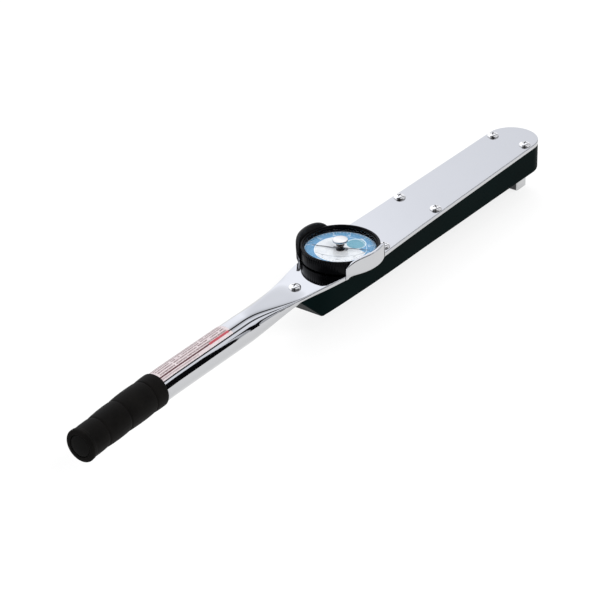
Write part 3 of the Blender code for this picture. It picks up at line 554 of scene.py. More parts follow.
CHROME = chrome("chrome_plate", (0.585, 0.59, 0.605), rough=0.02, smudge=0.03, wave=0.012)
CHROME_SMALL = chrome("chrome_screw", (0.84, 0.83, 0.82), rough=0.03, smudge=0.03)
CHROME_STEM = chrome("chrome_stem", (0.12, 0.105, 0.098), rough=0.28, smudge=0.05)
CHROME_KNOB = chrome("chrome_knob", (0.72, 0.71, 0.70), rough=0.06, smudge=0.05)
SATIN_CHROME = chrome("chrome_drive", (0.60, 0.605, 0.61), rough=0.14, smudge=0.10, wave=0.02)
HOUSING = black_satin(
    "housing_enamel", (0.0006, 0.0040, 0.0040), rough=0.40, specular=0.008,
    grain=900.0, strength=0.25, distance=0.00012, edge_colour=(0.012, 0.018, 0.018))
BEZEL_BLACK = black_satin(
    "bezel_gloss", (0.0020, 0.0021, 0.0026), rough=0.22, specular=0.07,
    grain=1400.0, strength=0.05, distance=0.00004, edge_colour=(0.03, 0.03, 0.032))
PLUG_BLACK = black_satin(
    "plug_moulding", (0.0045, 0.0043, 0.0040), rough=0.5, specular=0.08,
    grain=1500.0, strength=0.3, distance=0.00006)
# dark moulding of the dial case; also used as painted shade in the screw recesses and as a painted
# dark reflection inside the guard ears
CASE_BLACK_AND_PAINTED_SHADE = black_satin(
    "case_moulding_and_painted_shade", (0.010, 0.010, 0.011), rough=0.45, specular=0.18,
    grain=1600.0, strength=0.2, distance=0.00005)
NEEDLE_BLACK = black_satin(
    "needle_paint", (0.006, 0.007, 0.010), rough=0.35, specular=0.3,
    grain=2500.0, strength=0.1, distance=0.00002)
STEEL = metal("ground_steel", (0.56, 0.57, 0.58), rough=0.28)
SPRING = metal("spring_steel", (0.32, 0.33, 0.35), rough=0.35)
BRASS = metal("turned_brass", (0.78, 0.57, 0.25), rough=0.28, grain=(60, 60, 2500))
BRONZE = metal("bearing_bronze", (0.55, 0.36, 0.20), rough=0.35, grain=(60, 60, 2500))
ALLOY = metal("mill_alloy", (0.70, 0.71, 0.72), rough=0.35, grain=(60, 1800, 1800))


def rubber_shader(net):
    """Moulded rubber: fine pebble and dusty drift."""
    place = net.coords()
    pebble = net.node("ShaderNodeTexVoronoi", feature="SMOOTH_F1")
    net.put(pebble.inputs["Vector"], place)
    net.put(pebble.inputs["Scale"], 1500.0)
    fine = net.noise(3200.0, detail=2.0)
    dust = net.noise(60.0, detail=5.0, rough=0.7)
    clean, dusty = (0.0030, 0.0027, 0.0024), (0.0062, 0.0056, 0.0050)
    height = net.plus(net.times(pebble.outputs["Distance"], 0.7), net.times(fine, 0.3))
    return net.bsdf(
        Base_Color=net.mix(net.map(dust, (0.38, 0.72)), clean, dusty),
        Roughness=net.map(dust, to=(0.55, 0.72)), Specular_IOR_Level=0.07,
        Normal=net.bump(height, strength=0.35, distance=0.00015),
    )


RUBBER = shade("grip_rubber", rubber_shader)


# ------------------------------------------------------------------ prints and lens
def dial_shader(net):
    """Printed dial: white centre, blue scale ring, blue field with a teal disc towards the head, with
    painted shade round the hubs and at the outer edge.
    """
    centre_r, ring_edge = 18.3, 25.2
    disc_x, disc_y, disc_r = 12.3, -4.6, 6.9
    arc_x, arc_y, arc_r = 13.9, 8.9, 27.1
    pale_line = (0.80, 0.86, 0.92)

    object_x, y, _ = net.axes(net.place())
    x = net.plus(object_x, -DIAL_X * MM)
    radius = net.times(net.length(x, y), 1000.0)

    def distance_from(centre_x, centre_y):
        across = net.minus(net.times(x, 1000.0), centre_x)
        return net.length(across, net.minus(net.times(y, 1000.0), centre_y))

    tone = net.noise(260.0, detail=4.0)
    white = net.mix(net.map(tone, (0.35, 0.65)), (0.66, 0.67, 0.70), (0.76, 0.76, 0.77))
    blue = net.mix(net.map(tone), (0.024, 0.195, 0.40), (0.045, 0.26, 0.49))
    teal = net.mix(net.map(tone), (0.048, 0.25, 0.35), (0.08, 0.31, 0.41))
    from_disc = distance_from(disc_x, disc_y)
    # the field lies in front of a line slightly tilted off Y
    ahead = net.above(net.plus(net.times(x, 1000.0), net.times(y, -170.0)), 8.6)
    arc_line = net.times(
        net.near(distance_from(arc_x, arc_y), arc_r, 0.2), net.below(radius, 17.8))
    field = net.times(ahead, net.below(radius, centre_r))
    print_and_shade_layers = (    # share, colour, from the bottom up
        (field, blue),
        (net.times(net.below(from_disc, disc_r), 1.0), teal),
        (net.near(from_disc, disc_r, 0.34), (0.70, 0.76, 0.80)),
        (net.times(arc_line, 0.8), (0.10, 0.13, 0.17)),
        (net.near(radius, centre_r, 0.13), pale_line),
        (net.near(radius, ring_edge, 0.12), pale_line),
        # painted shade in the middle round the hubs, and painted shade at the outer edge under the
        # bezel
        (net.map(radius, (3.0, 3.4), to=(1.0, 0.0)), (0.035, 0.031, 0.029)),
        (net.map(radius, (24.6, 25.9), to=(0.0, 0.35)), (0.02, 0.08, 0.20)),
    )
    colour = net.mix(net.above(radius, centre_r), white, blue)
    for share, layer in print_and_shade_layers:
        colour = net.mix(share, colour, layer)
    return net.bsdf(
        Base_Color=colour, Roughness=net.map(tone, to=(0.36, 0.5)), Specular_IOR_Level=0.3,
        Normal=net.bump(tone, strength=0.04, distance=0.00002),
    )


# the dial face's material holds its print and the painted shade
DIAL_PRINT_AND_SHADE = shade("dial_print", dial_shader)


def ink(name, colour):
    def build(net):
        tone = net.noise(900.0)
        return net.bsdf(
            Base_Color=net.mix(net.map(tone), dimmed(colour, 0.88), colour),
            Roughness=net.map(tone, to=(0.35, 0.5)),
            Normal=net.bump(tone, strength=0.08, distance=0.00001),
        )

    return shade(name, build)


INK_WHITE = ink("ink_white", (0.93, 0.94, 0.95))
INK_DARK = ink("ink_dark", (0.03, 0.04, 0.06))


def lens_shader(net):
    """Clear cover with finger marks: transparent with a faint gloss, cheap to render."""
    marks = net.noise(70.0, detail=5.0, rough=0.7)
    clear = net.node("ShaderNodeBsdfTransparent")
    smeared = net.map(marks, (0.4, 0.8), to=(0.0, 0.5))
    net.put(clear.inputs[0], net.mix(smeared, (0.985, 0.992, 0.995), (0.95, 0.96, 0.97)))
    gloss = net.node("ShaderNodeBsdfGlossy")
    net.put(gloss.inputs["Roughness"], net.map(marks, (0.35, 0.75), to=(0.01, 0.06)))
    net.put(gloss.inputs["Color"], (0.9, 0.93, 0.95))
    fresnel = net.node("ShaderNodeFresnel")
    net.put(fresnel.inputs["IOR"], 1.30)
    return net.mix_shaders(net.times(fresnel.outputs[0], 0.11), clear, gloss)


LENS = shade("lens_clear", lens_shader)


def label_shader(net):
    """Vinyl label: pale pink sheet, rows of plain blocks standing for print, a red bar."""
    ink_colour = (0.14, 0.09, 0.09)
    object_x, object_y, object_z = net.axes(net.place())
    along = net.times(object_x, 1000.0)
    up = net.minus(object_z, (PLATE_TOP + TUBE_Z) * MM)
    # degrees round the handle, from the top towards +Y
    around = net.times(net.math("ARCTAN2", object_y, up), 180 / pi)
    # rows of print start at -20 degrees, 11.2 degrees apart
    row = net.math("DIVIDE", net.plus(around, 20.0), 11.2)
    number = net.math("FLOOR", row)
    within = net.math("FRACT", row)
    band = net.between(within, 0.22, 0.76)
    # long stretches with gaps stand for words, short ones for letters
    word_place = net.vector(net.times(along, 0.30), net.times(number, 9.7))
    words = net.above(net.noise(1.0, word_place, detail=0.0), 0.34)
    line_shift = net.times(net.math("FLOOR", net.times(within, 6.0)), 1.7)
    block_place = net.vector(net.times(along, 1.9), net.plus(net.times(number, 5.3), line_shift))
    blocks = net.above(net.noise(1.0, block_place, detail=1.0), 0.42)
    inside = net.between(along, -427.5, -359.5)
    inked = net.times(net.times(band, words), net.times(blocks, inside))
    inked = net.times(inked, net.times(net.below(around, 58.0), net.above(around, -20.0)))
    tone = net.noise(300.0, detail=4.0)
    sheet = net.mix(net.map(tone), (0.53, 0.455, 0.475), (0.61, 0.54, 0.55))
    # a red bar near the front end, a print row below it, and a dark line along the whole label
    bar = net.times(net.between(around, -28.5, -18.5), net.between(along, -379.0, -359.0))
    low_row = net.between(around, -35.5, -30.5)
    low_row = net.times(low_row, net.times(blocks, net.below(along, -392.0)))
    bar = net.times(bar, net.map(blocks, (0.0, 1.0), to=(0.72, 1.0)))
    line = net.near(around, -24.0, 3.0)
    colour = net.mix(net.times(inked, 0.85), sheet, ink_colour)
    colour = net.mix(net.times(low_row, 0.55), colour, ink_colour)
    colour = net.mix(net.times(line, 0.95), colour, (0.06, 0.008, 0.012))
    colour = net.mix(net.times(bar, 0.9), colour, (0.42, 0.065, 0.085))
    return net.bsdf(
        Base_Color=colour, Roughness=net.map(tone, to=(0.38, 0.52)), Specular_IOR_Level=0.3,
        Normal=net.bump(tone, strength=0.05, distance=0.00002),
    )


LABEL = shade("label_vinyl", label_shader)

# ------------------------------------------------------------------ frame: tube and plate
# positions round a quarter section: 0 at the side, 8 at the centre line, closer at the corner
QUADRANT = [0.0, 0.5] + [1 + 2 * k / 8 for k in range(9)] + [3 + 5 * k / 8 for k in range(1, 9)]
PLATE_EDGE_R = 0.8
FRAME_SHARP = 30


def section(x):
    """One closed (y, z) ring at x: a round tube that becomes a flat strip with rounded edges."""
    t = (x - FLAT_START_X) / (FLAT_END_X - FLAT_START_X)
    flat = smooth((t - 0.1) / 1.15)
    under = max(flat, smooth((t - 0.75) / 0.3))
    centre = TUBE_Z + (-PLATE_THICK / 2 - TUBE_Z) * flat
    top = (TUBE_Z + TUBE_R) * (1 - flat)
    bottom = TUBE_Z - TUBE_R + (TUBE_R - TUBE_Z - PLATE_THICK) * under
    width = plate_half_width(x) if x > FLAT_START_X else TUBE_R
    if x < SHOULDER_X:
        width, top, bottom = SEAT_R, centre + SEAT_R, centre - SEAT_R
    # circle, then ever squarer curve, then a flat strip with a small edge radius
    power = 2 + 2 * smooth((t - 0.2) / 1.1)
    square = smooth((t - 1.0) / 0.5)

    def point(k, height):
        angle = k * pi / 16
        curve_y = width * max(cos(angle), 0.0) ** (2 / power) if k < 8 else 0.0
        curve_z = height * sin(angle) ** (2 / power) if k > 0 else 0.0
        edge = min(PLATE_EDGE_R, height * 0.98, width * 0.5)
        if k <= 1:
            strip_y, strip_z = width, (height - edge) * k
        elif k <= 3:
            turn = (k - 1) * pi / 4
            strip_y, strip_z = width - edge + edge * cos(turn), height - edge + edge * sin(turn)
        else:
            strip_y, strip_z = (width - edge) * (8 - k) / 5, height
        return (
            curve_y * (1 - square) + strip_y * square,
            curve_z * (1 - square) + strip_z * square,
        )

    above = [point(k, top - centre) for k in QUADRANT]
    below = [point(k, centre - bottom) for k in QUADRANT]
    ring = above + [(-y, z) for y, z in reversed(above[:-1])]
    ring += [(-y, -z) for y, z in below[1:]]
    ring += [(y, -z) for y, z in reversed(below[1:-1])]
    return [(y, z + centre + sag(x)) for y, z in ring]


def plate_and_tube():
    """Tube and plate along X, closed by a half-round nose."""
    squaring = 12.0    # length of finer stations in front of the flattened part
    stations = [TUBE_END_X, -480, -460, -440, SHOULDER_X - 0.05, SHOULDER_X + 0.05]
    stations += [-418, -400, -375, FLAT_START_X]
    stations += [FLAT_START_X + (FLAT_END_X - FLAT_START_X) * k / 60 for k in range(1, 61)]
    stations += [FLAT_END_X + squaring * k / 12 for k in range(1, 13)]
    rest = HEAD_X - FLAT_END_X - squaring
    stations += [FLAT_END_X + squaring + rest * k / 106 for k in range(1, 107)]
    solid = bmesh.new()
    rings = [
        [solid.verts.new((x, y, PLATE_TOP + z)) for y, z in section(x)] for x in stations
    ]
    walls(solid, rings, caps=False)
    solid.faces.new(rings[0])
    # the nose turns the left (+Y) half section, top centre to bottom centre, round to the right
    last = section(HEAD_X)
    quarter = len(QUADRANT) - 1
    left = list(range(quarter, -1, -1)) + [len(last) - k for k in range(1, quarter + 1)]
    right = range(quarter, 3 * quarter + 1)
    steps = 44
    columns = [[rings[-1][i] for i in left]]
    for step in range(1, steps):
        angle = pi / 2 - pi * step / steps
        column = [columns[0][0]]
        for y, z in (last[i] for i in left[1:-1]):
            place = (HEAD_X + y * cos(angle), y * sin(angle), PLATE_TOP + z)
            column.append(solid.verts.new(place))
        columns.append(column + [columns[0][-1]])
    columns.append([rings[-1][i] for i in right])
    for one, two in zip(columns, columns[1:]):
        for j in range(len(left) - 1):
            # the first and last vertex are shared, which makes triangles there
            corners = (one[j], one[j + 1], two[j + 1], two[j])
            solid.faces.new(list(dict.fromkeys(corners)))
    return mesh_object("frame_shell_skin", solid, FRAME_SHARP)


# ------------------------------------------------------------------ frame: guard ears
EAR_IN, EAR_OUT, EAR_TOP, EAR_ROOT_R = 28.6, 31.0, 13.9, 21.5
# angles about the dial axis, from the side (Y) to the ear's rear and front ends
EAR_REAR, EAR_FRONT = asin(22.7 / EAR_OUT), asin(20.2 / EAR_OUT)


def ear_ring(angle, side, inset):
    """Section of an ear at an angle from the side towards the front; side is 1 (+Y) or -1."""
    along = (EAR_IN + EAR_OUT) / 2 * sin(angle) + 1.3
    crest = EAR_TOP * sqrt(max(1 - (abs(along) / 21.6) ** 4, 0.0))
    top = max(crest, 6.6) - inset
    edge = plate_half_width(DIAL_X + EAR_OUT * sin(angle)) / cos(angle)
    base = min(edge + 0.4, EAR_OUT)
    inner, outer = EAR_IN + inset, EAR_OUT - inset
    ring = [(EAR_ROOT_R, -0.45), (inner - 0.5, -0.45), (inner, -0.4), (inner, top - 0.7)]
    ring += [
        (inner + 0.5 * (1 - cos(b)), top - 0.7 + 0.7 * sin(b)) for b in (0.5, 1.0, pi / 2)
    ]
    ring += [
        (outer - 0.7 * (1 - sin(b)), top - 0.8 * (1 - cos(b)))
        for b in (0.0, 0.45, 0.9, 1.3, pi / 2)
    ]
    ring += [(outer, 3.2), (outer, 2.4)]
    # a Bezier sweep under the outer wall to the plate's edge
    sweep = ((outer, 2.4), (outer, 0.9), (base + 0.45 * (outer - base), -1.0), (base, -3.0))
    for k in range(1, 9):
        t = k / 8
        ring.append(tuple(
            (1 - t) ** 3 * a + 3 * (1 - t) ** 2 * t * b + 3 * (1 - t) * t * t * c + t ** 3 * d
            for a, b, c, d in zip(*sweep)
        ))
    ring.append((EAR_ROOT_R, -3.0))
    return [(DIAL_X + r * sin(angle), side * r * cos(angle), PLATE_TOP + z) for r, z in ring]


def ear(side):
    # (inset, angle from the end) round the ear's end edges
    ends = [(0.45 * (1 - sin(b)), 0.45 * (1 - cos(b)) / 30) for b in (0.0, 0.5, 1.0)]
    places = [(-EAR_REAR + turn, inset) for inset, turn in ends]
    sweep = EAR_REAR + EAR_FRONT - 0.032
    places += [(-EAR_REAR + 0.016 + sweep * k / 56, 0.0) for k in range(57)]
    places += [(EAR_FRONT - turn, inset) for inset, turn in reversed(ends)]
    return loft([ear_ring(angle, side, inset) for angle, inset in places])


def plate_holes():
    """Holes in the plate; the shallow ones stop under its top."""
    through = 3.0
    holes = [(x, y, through, 2.0) for x, y in COVER_SCREWS]    # x, y, top, radius
    holes += [(DIAL_X, 0, through, 2.9), (0, 0, -1.5, 7.8)]
    for side in (1, -1):
        holes.append((LOAD_X, side * 13.8, -1.4, 1.3))
        holes.append((DIAL_X - 12.5, side * 6.0, -1.4, 1.5))
    holes += [(x, y, through, CASE_HOLE_R) for x, y in CASE_SCREWS]
    return rods([(x, y, PLATE_TOP - 6.0, PLATE_TOP + top, r) for x, y, top, r in holes])


def ear_lining(centre, normal):
    """Faces inside both ears, and the rim and ends of the left (+Y) ear: painted black as a painted
    dark reflection of the dial and bezel in the chrome.
    """
    p = centre / MM
    radius = hypot(p.x - DIAL_X, p.y)
    z = p.z - PLATE_TOP
    if not (z > 0.15 and 24.0 < radius < 33.0 and abs(p.y) > 12):
        return False
    inner = normal.x * (p.x - DIAL_X) + normal.y * p.y < -0.6 * radius
    rim_or_end = normal.z > 0.25 or abs(normal.x) > 0.8
    return inner or (p.y > 0 and z > 2.0 and rim_or_end)


frame_skin = plate_and_tube()
for side in (1, -1):
    join(frame_skin, ear(side), FRAME_SHARP)
cut(frame_skin, plate_holes(), FRAME_SHARP)
bore_ends = [TUBE_END_X - 5, SAG[1][0], SAG[0][0], FLAT_START_X - 8]
bore_profile = [(TUBE_BORE, x) for x in bore_ends] + [(0, FLAT_START_X + 2)]
cut(frame_skin, sagged(revolve(bore_profile, 48, axis="X", centre=TUBE_AXIS)), FRAME_SHARP)
finish_piece(frame_skin, CHROME, "frame", "chrome", "frame_shell", weighted=False)
# the chrome inside both ears and on the left ear's rim is painted black as a painted dark reflection
paint(frame_skin, CASE_BLACK_AND_PAINTED_SHADE, ear_lining)

# ------------------------------------------------------------------ grip, plug and label
GROOVES = (-486.5, -466.0, -440.8)
GRIP_CROWN = (    # x, radius at the top of the lobes
    (GRIP_X0, 10.9), (-490.0, 11.15), (-470.0, 11.6), (-450.0, 11.85), (GRIP_X1, 11.75),
)
GRIP_FRONT = -429.8


def grip_radius(x):
    """Shallow finger lobes with a narrow groove between them."""
    marks = (GRIP_X0 - 3, *GROOVES, GRIP_X1 + 3)
    crown = curve_at(GRIP_CROWN, x)
    for start, end in zip(marks, marks[1:]):
        if start <= x <= end:
            t = (x - start) / (end - start)
            crown -= 0.62 * (1 - sin(pi * t) ** 0.42)
    for groove in GROOVES:
        crown -= 0.38 * exp(-((x - groove) / 0.55) ** 2)
    return crown


def grip_profile():
    """Closed (radius, x) profile, from the bore to the front edge and back to the rear lip."""
    bore, front, edge = SEAT_R + 0.12, grip_radius(GRIP_FRONT), 0.9
    profile = [(bore, GRIP_X0 + 1.5), (bore, SAG[1][0]), (bore, GRIP_FRONT - 0.1)]
    profile += [(SEAT_R + 0.4, GRIP_FRONT), (front - edge, GRIP_FRONT)]
    profile += [
        (front - edge * (1 - sin(b)), GRIP_FRONT - edge * (1 - cos(b))) for b in (0.5, 1.0, 1.35)
    ]
    x = GRIP_FRONT - edge
    while x > GRIP_X0 + 3.4:
        profile.append((grip_radius(x), x))
        x -= 0.5
    # rolled bead at the rear end
    profile += [(10.98, GRIP_X0 + 3.0), (11.05, GRIP_X0 + 2.5), (11.4, GRIP_X0 + 2.15)]
    profile += [
        (10.75 + 0.8 * cos(b), GRIP_X0 + 0.4 - 0.8 * sin(b) * 1.5)
        for b in (-0.75, -0.4, 0.0, 0.4, 0.8, 1.15, 1.45)
    ]
    lip = (    # radius, x from the grip's rear end
        (10.2, -0.95), (9.4, -1.15), (8.6, -1.2), (8.05, -1.05), (7.9, -0.8), (7.9, 1.5),
    )
    return profile + [(radius, GRIP_X0 + x) for radius, x in lip]


def parting_lines(angle, radius, x):
    """Slight ridges along the grip's left and right sides."""
    if radius < 10.7 or x > GRIP_FRONT - 2.0 or x < GRIP_X0 + 3.2:
        return 0.0
    off = abs(((angle / pi) + 0.5) % 1.0 - 0.5) * pi
    return 0.05 * exp(-(off * 11.0 / 0.35) ** 2)


grip = sagged(revolve(
    grip_profile(), 144, ring=True, axis="X", centre=TUBE_AXIS, wave=parting_lines))
finish_piece(mesh_object("grip_skin", grip, 50), RUBBER, "frame", "grip_rubber", "grip")

PLUG_PROFILE = (    # radius, x from the grip's rear end
    (0, -1.5), (2.0, -1.48), (4.2, -1.4), (5.9, -1.25), (6.9, -1.05), (7.4, -0.75), (7.6, -0.3),
    (7.55, 12.5), (6.8, 13.5), (0, 13.5),
)
plug = sagged(revolve([(r, GRIP_X0 + x) for r, x in PLUG_PROFILE], 96, axis="X", centre=TUBE_AXIS))
finish_piece(
    mesh_object("tube_end_plug_skin", plug, 50), PLUG_BLACK, "frame", "dark_plastic",
    "tube_end_plug")


def label_solid():
    """Thin curved sheet on the tube, from 40 degrees right of the top to 62 degrees left."""
    x0, x1, border = -429.2, -357.0, 0.25
    stations = [x0, x0 + border]
    stations += [x0 + border + (x1 - x0 - 0.5) * k / 20 for k in range(1, 21)] + [x1]
    outlines = []
    for x in stations:
        thinned = 0.05 if x in (x0, x1) else 0.0
        outline = []
        for radius, order in (
            (TUBE_R + 0.06, range(0, 49)), (TUBE_R + 0.2 - thinned, range(48, -1, -1)),
        ):
            for k in order:
                angle = radians(-40 + 102 * k / 48)
                height = PLATE_TOP + TUBE_Z + sag(x) + radius * cos(angle)
                outline.append((x, radius * sin(angle), height))
        outlines.append(outline)
    return loft(outlines)


finish_piece(
    mesh_object("handle_label_skin", label_solid(), 45), LABEL, "frame", "label_vinyl",
    "handle_label")

# ------------------------------------------------------------------ housing
RIM_Z = -PLATE_THICK - HOUSING_GAP      # heights from the plate's top
LOW_Z = -HOUSING_DEPTH
FLOOR_Z = LOW_Z + HOUSING_WALL
REAR_RIM_X, REAR_LOW_X = -290.0, -269.5
FOOT_R = 1.3
HOUSING_SHARP = 32


def housing_half(x, share):
    """Half width at x: share 0 gives the low shape, 1 the rim's."""
    low = curve_at(HOUSING_STATIONS, x)
    rim = min(plate_half_width(x) - 0.15 - 0.65 * smooth(-x / 60.0), low + 1.6)
    return low * (1 - share) + rim * share


def housing_outline(z, rear, share, inset):
    """Closed outline with rounded rear corners and a half-round nose.

    rear runs from 0 to 1 between the rear end's x at the bottom and at the rim.
    """
    def half(x):
        return housing_half(x, share) - inset

    x0 = REAR_LOW_X + (REAR_RIM_X - REAR_LOW_X) * rear + inset
    corner = 1.6 - inset * 0.5
    side = []
    for k in range(7):
        angle = pi / 2 * k / 6
        y = -half(x0 + corner) + corner * (1 - sin(angle))
        side.append((x0 + corner * (1 - cos(angle)), y))
    for k in range(1, 56):
        x = x0 + corner + (HEAD_X - x0 - corner) * (k / 55.0) ** 0.95
        side.append((x, -half(x)))
    nose = arc(HEAD_X, 0, half(HEAD_X), -pi / 2, pi / 2, 40)[1:-1]
    left = [(x, -y) for x, y in reversed(side)]
    return [(x, y, PLATE_TOP + z) for x, y in side + nose + left]


def housing_shell():
    levels = []    # z, rear, share, inset
    for k in range(6):
        angle = pi / 2 * k / 5
        z = LOW_Z + FOOT_R * (1 - cos(angle))
        levels.append((z, 0.045 * k / 5, 0.0, FOOT_R * (1 - sin(angle))))
    for t in (0.3, 0.6, 0.9):
        z = LOW_Z + FOOT_R + (RIM_Z - LOW_Z - FOOT_R) * t
        levels.append((z, 0.045 + 0.955 * t, t, 0.0))
    levels += [(RIM_Z - 0.35, 0.985, 0.985, 0.0), (RIM_Z, 1.0, 1.0, 0.25)]
    shell = mesh_object(
        "base_housing_skin", loft([housing_outline(*level) for level in levels]), HOUSING_SHARP)
    # the cavity leaves a post round each cover screw
    inside = ((FLOOR_Z, 0.10, 0.0), (RIM_Z, 1.0, 1.0), (RIM_Z + 2, 1.1, 1.0))
    cavity = mesh_object(
        "cavity", loft([housing_outline(*level, HOUSING_WALL) for level in inside]))
    post_z = (PLATE_TOP + FLOOR_Z - 1, PLATE_TOP + RIM_Z + 3)
    cut(cavity, rods([(x, y, *post_z, 3.4) for x, y in COVER_SCREWS], 20))
    boolean(shell, cavity, sharp=HOUSING_SHARP)
    # screw holes, and the drive's opening in the floor
    hole_z = (PLATE_TOP + RIM_Z - 6.4, PLATE_TOP + RIM_Z + 2)
    holes = rods([(x, y, *hole_z, 1.8) for x, y in COVER_SCREWS], 18)
    rods([(0, 0, PLATE_TOP + LOW_Z - 2, PLATE_TOP + FLOOR_Z + 1, 10.2)], 72, holes)
    cut(shell, holes, HOUSING_SHARP)
    return shell


finish_piece(housing_shell(), HOUSING, "frame", "black_satin", "base_housing")


# ------------------------------------------------------------------ cover screws
def cross_outline(reach, width, z, relief=0.08):
    """A cross of four arms, with eased inner corners."""
    arm = (
        (width + relief, -width - relief), (width + relief * 2.0, -width),
        (reach, -width * 0.9), (reach + 0.12, 0.0), (reach, width * 0.9),
        (width + relief * 2.0, width),
    )
    points = []
    for quarter in range(4):
        c, s = cos(quarter * pi / 2), sin(quarter * pi / 2)
        points += [(x * c - y * s, x * s + y * c, z) for x, y in arm]
    return points


def screw_mesh():
    """Domed cross-recess screw, with z = 0 under its head."""
    head_r, dome, shank_r, shank_length, reach = 4.4, 2.3, 1.6, 8.8, 2.3
    width = reach * 0.17
    flat = 0.42    # height of the head's straight side
    profile = [(0, -shank_length), (shank_r - 0.4, -shank_length), (shank_r, -shank_length + 0.5)]
    z = -shank_length + 0.8
    while z < -1.2:
        profile += [(shank_r, z), (shank_r - 0.22, z + 0.25)]
        z += 0.5
    profile += [(shank_r - 0.2, -0.6), (shank_r, 0), (head_r - 0.25, 0)]
    profile += [(head_r - 0.06, 0.09), (head_r, 0.26), (head_r, flat)]
    for k in range(1, 13):
        angle = pi / 2 * k / 13
        profile.append((head_r * cos(angle) ** 0.85, flat + (dome - flat) * sin(angle)))
    profile.append((0, dome))
    node = mesh_object("screw_tool", revolve(profile, 64), 40)
    # the recess narrows towards its floor
    floor_z = dome - 1.6
    recess = (    # arm reach, arm half width, z
        (reach * 0.35, width * 0.55, floor_z), (reach * 0.62, width * 0.8, floor_z + 0.5),
        (reach * 0.92, width, dome - 0.25), (reach * 1.12, width * 1.15, dome + 0.7),
    )
    cut(node, loft([cross_outline(*level) for level in recess]), 34)
    mesh = node.data
    bpy.data.objects.remove(node, do_unlink=True)
    return mesh


# the cross recess of each chrome screw is painted black as painted shade
def screw_recess(centre, normal):
    p = centre / MM
    return hypot(p.x, p.y) < 2.9 and p.z > 0.3 and (normal.z < 0.62 or p.z < 1.45)


cover_screw = screw_mesh()
SCREW_TURNS = (0.35, 1.1, 0.6, 0.15, 0.9, 0.5, 0.25)
for i, ((x, y), turn) in enumerate(zip(COVER_SCREWS, SCREW_TURNS), 1):
    node = link(f"cover_screw_skin_{i}", cover_screw)
    finish_piece(
        node, CHROME_SMALL, "frame", "screw_chrome", f"cover_screw_{i}",
        at=(x, y, PLATE_TOP + 0.06), turn=turn)
    # painted shade in the cross recess
    paint(node, CASE_BLACK_AND_PAINTED_SHADE, screw_recess)

# ------------------------------------------------------------------ drive head, ball and beam
HUB_R, HUB_Z0, HUB_Z1 = 10.0, 23.2, 36.4
LOWER_R, LOWER_Z = 8.7, 17.9                  # lower journal and its bottom
UPPER_R, UPPER_TOP = 5.6, PLATE_TOP - 2.0     # upper journal
SQUARE, SQUARE_CORNER = 12.7, 1.3
BALL_Z, BALL_R = 7.0, 2.2
BALL_X = SQUARE / 2 - BALL_R + 1.0
HEAD_SHARP = 34


def beam_pin_hole():
    return revolve([(2.15, -16), (2.15, 16)], 32, axis="Y", centre=(-10.0, 0, 30.0))


def drive_square():
    """Square with its bottom edge rounded."""
    outlines = []
    for k in range(6):
        angle = pi / 2 * k / 5
        inset = 1.0 * (1 - sin(angle)) ** 0.9
        corner = SQUARE_CORNER * (1 - 0.3 * (1 - sin(angle)))
        z = 1.0 * (1 - cos(angle))
        outlines.append([(x, y, z) for x, y in rounded_square(SQUARE - 2 * inset, corner)])
    outlines.append([(x, y, 19.7) for x, y in rounded_square(SQUARE, SQUARE_CORNER)])
    return loft(outlines)


def drive_head():
    head = mesh_object("drive_head_skin", revolve([
        (0, LOWER_Z), (LOWER_R - 0.6, LOWER_Z), (LOWER_R - 0.35, 17.98), (LOWER_R - 0.1, 18.2),
        (LOWER_R, 18.5), (LOWER_R, HUB_Z0), (HUB_R - 0.5, HUB_Z0), (HUB_R, HUB_Z0 + 0.5),
        (HUB_R, HUB_Z1 - 0.5), (HUB_R - 0.5, HUB_Z1), (UPPER_R, HUB_Z1),
        (UPPER_R, UPPER_TOP - 0.5), (UPPER_R - 0.5, UPPER_TOP), (0, UPPER_TOP),
    ], 96), HEAD_SHARP)
    block = [
        (1.5, -6.0), (1.5, 6.0), (-3.5, 9.9), (-21, 9.9), (-22, 9.0), (-22, -9.0), (-21, -9.9),
        (-3.5, -9.9),
    ]
    join(head, prism(block, HUB_Z0 + 0.25, HUB_Z1 - 0.25), HEAD_SHARP)
    join(head, drive_square(), HEAD_SHARP)
    # slot for the beam, pin hole, two tapped holes and the ball's hole
    slot = [(-26, -7.1), (-3.0, -7.1), (-3.0, 7.1), (-26, 7.1)]
    cut(head, prism(slot, 23.7, HUB_Z1 + 2), HEAD_SHARP)
    cut(head, beam_pin_hole(), HEAD_SHARP)
    arm_holes = [(-17.6, side * 8.5, HUB_Z1 - 7, HUB_Z1 + 2, 1.05) for side in (1, -1)]
    cut(head, rods(arm_holes, 20), HEAD_SHARP)
    face, hole_r, mouth_r = SQUARE / 2, BALL_R + 0.12, BALL_R + 0.5
    cut(head, revolve([
        (0, face - 8.6), (1.2, face - 8.3), (hole_r, face - 7.6), (hole_r, face - 0.35),
        (mouth_r, face + 0.15), (mouth_r, face + 2), (0, face + 2),
    ], 48, axis="X", centre=(0, 0, BALL_Z)), HEAD_SHARP)
    return head


finish_piece(drive_head(), SATIN_CHROME, "drive", "chrome", "drive_head")

ball_profile = [(BALL_R * sin(pi * k / 28), -BALL_R * cos(pi * k / 28)) for k in range(1, 28)]
ball = revolve(
    [(0, -BALL_R), *ball_profile, (0, BALL_R)], 56, axis="X", centre=(BALL_X, 0, BALL_Z))
finish_piece(
    mesh_object("detent_ball_skin", ball, 60), STEEL, "detent", "ground_steel", "detent_ball",
    weighted=False)


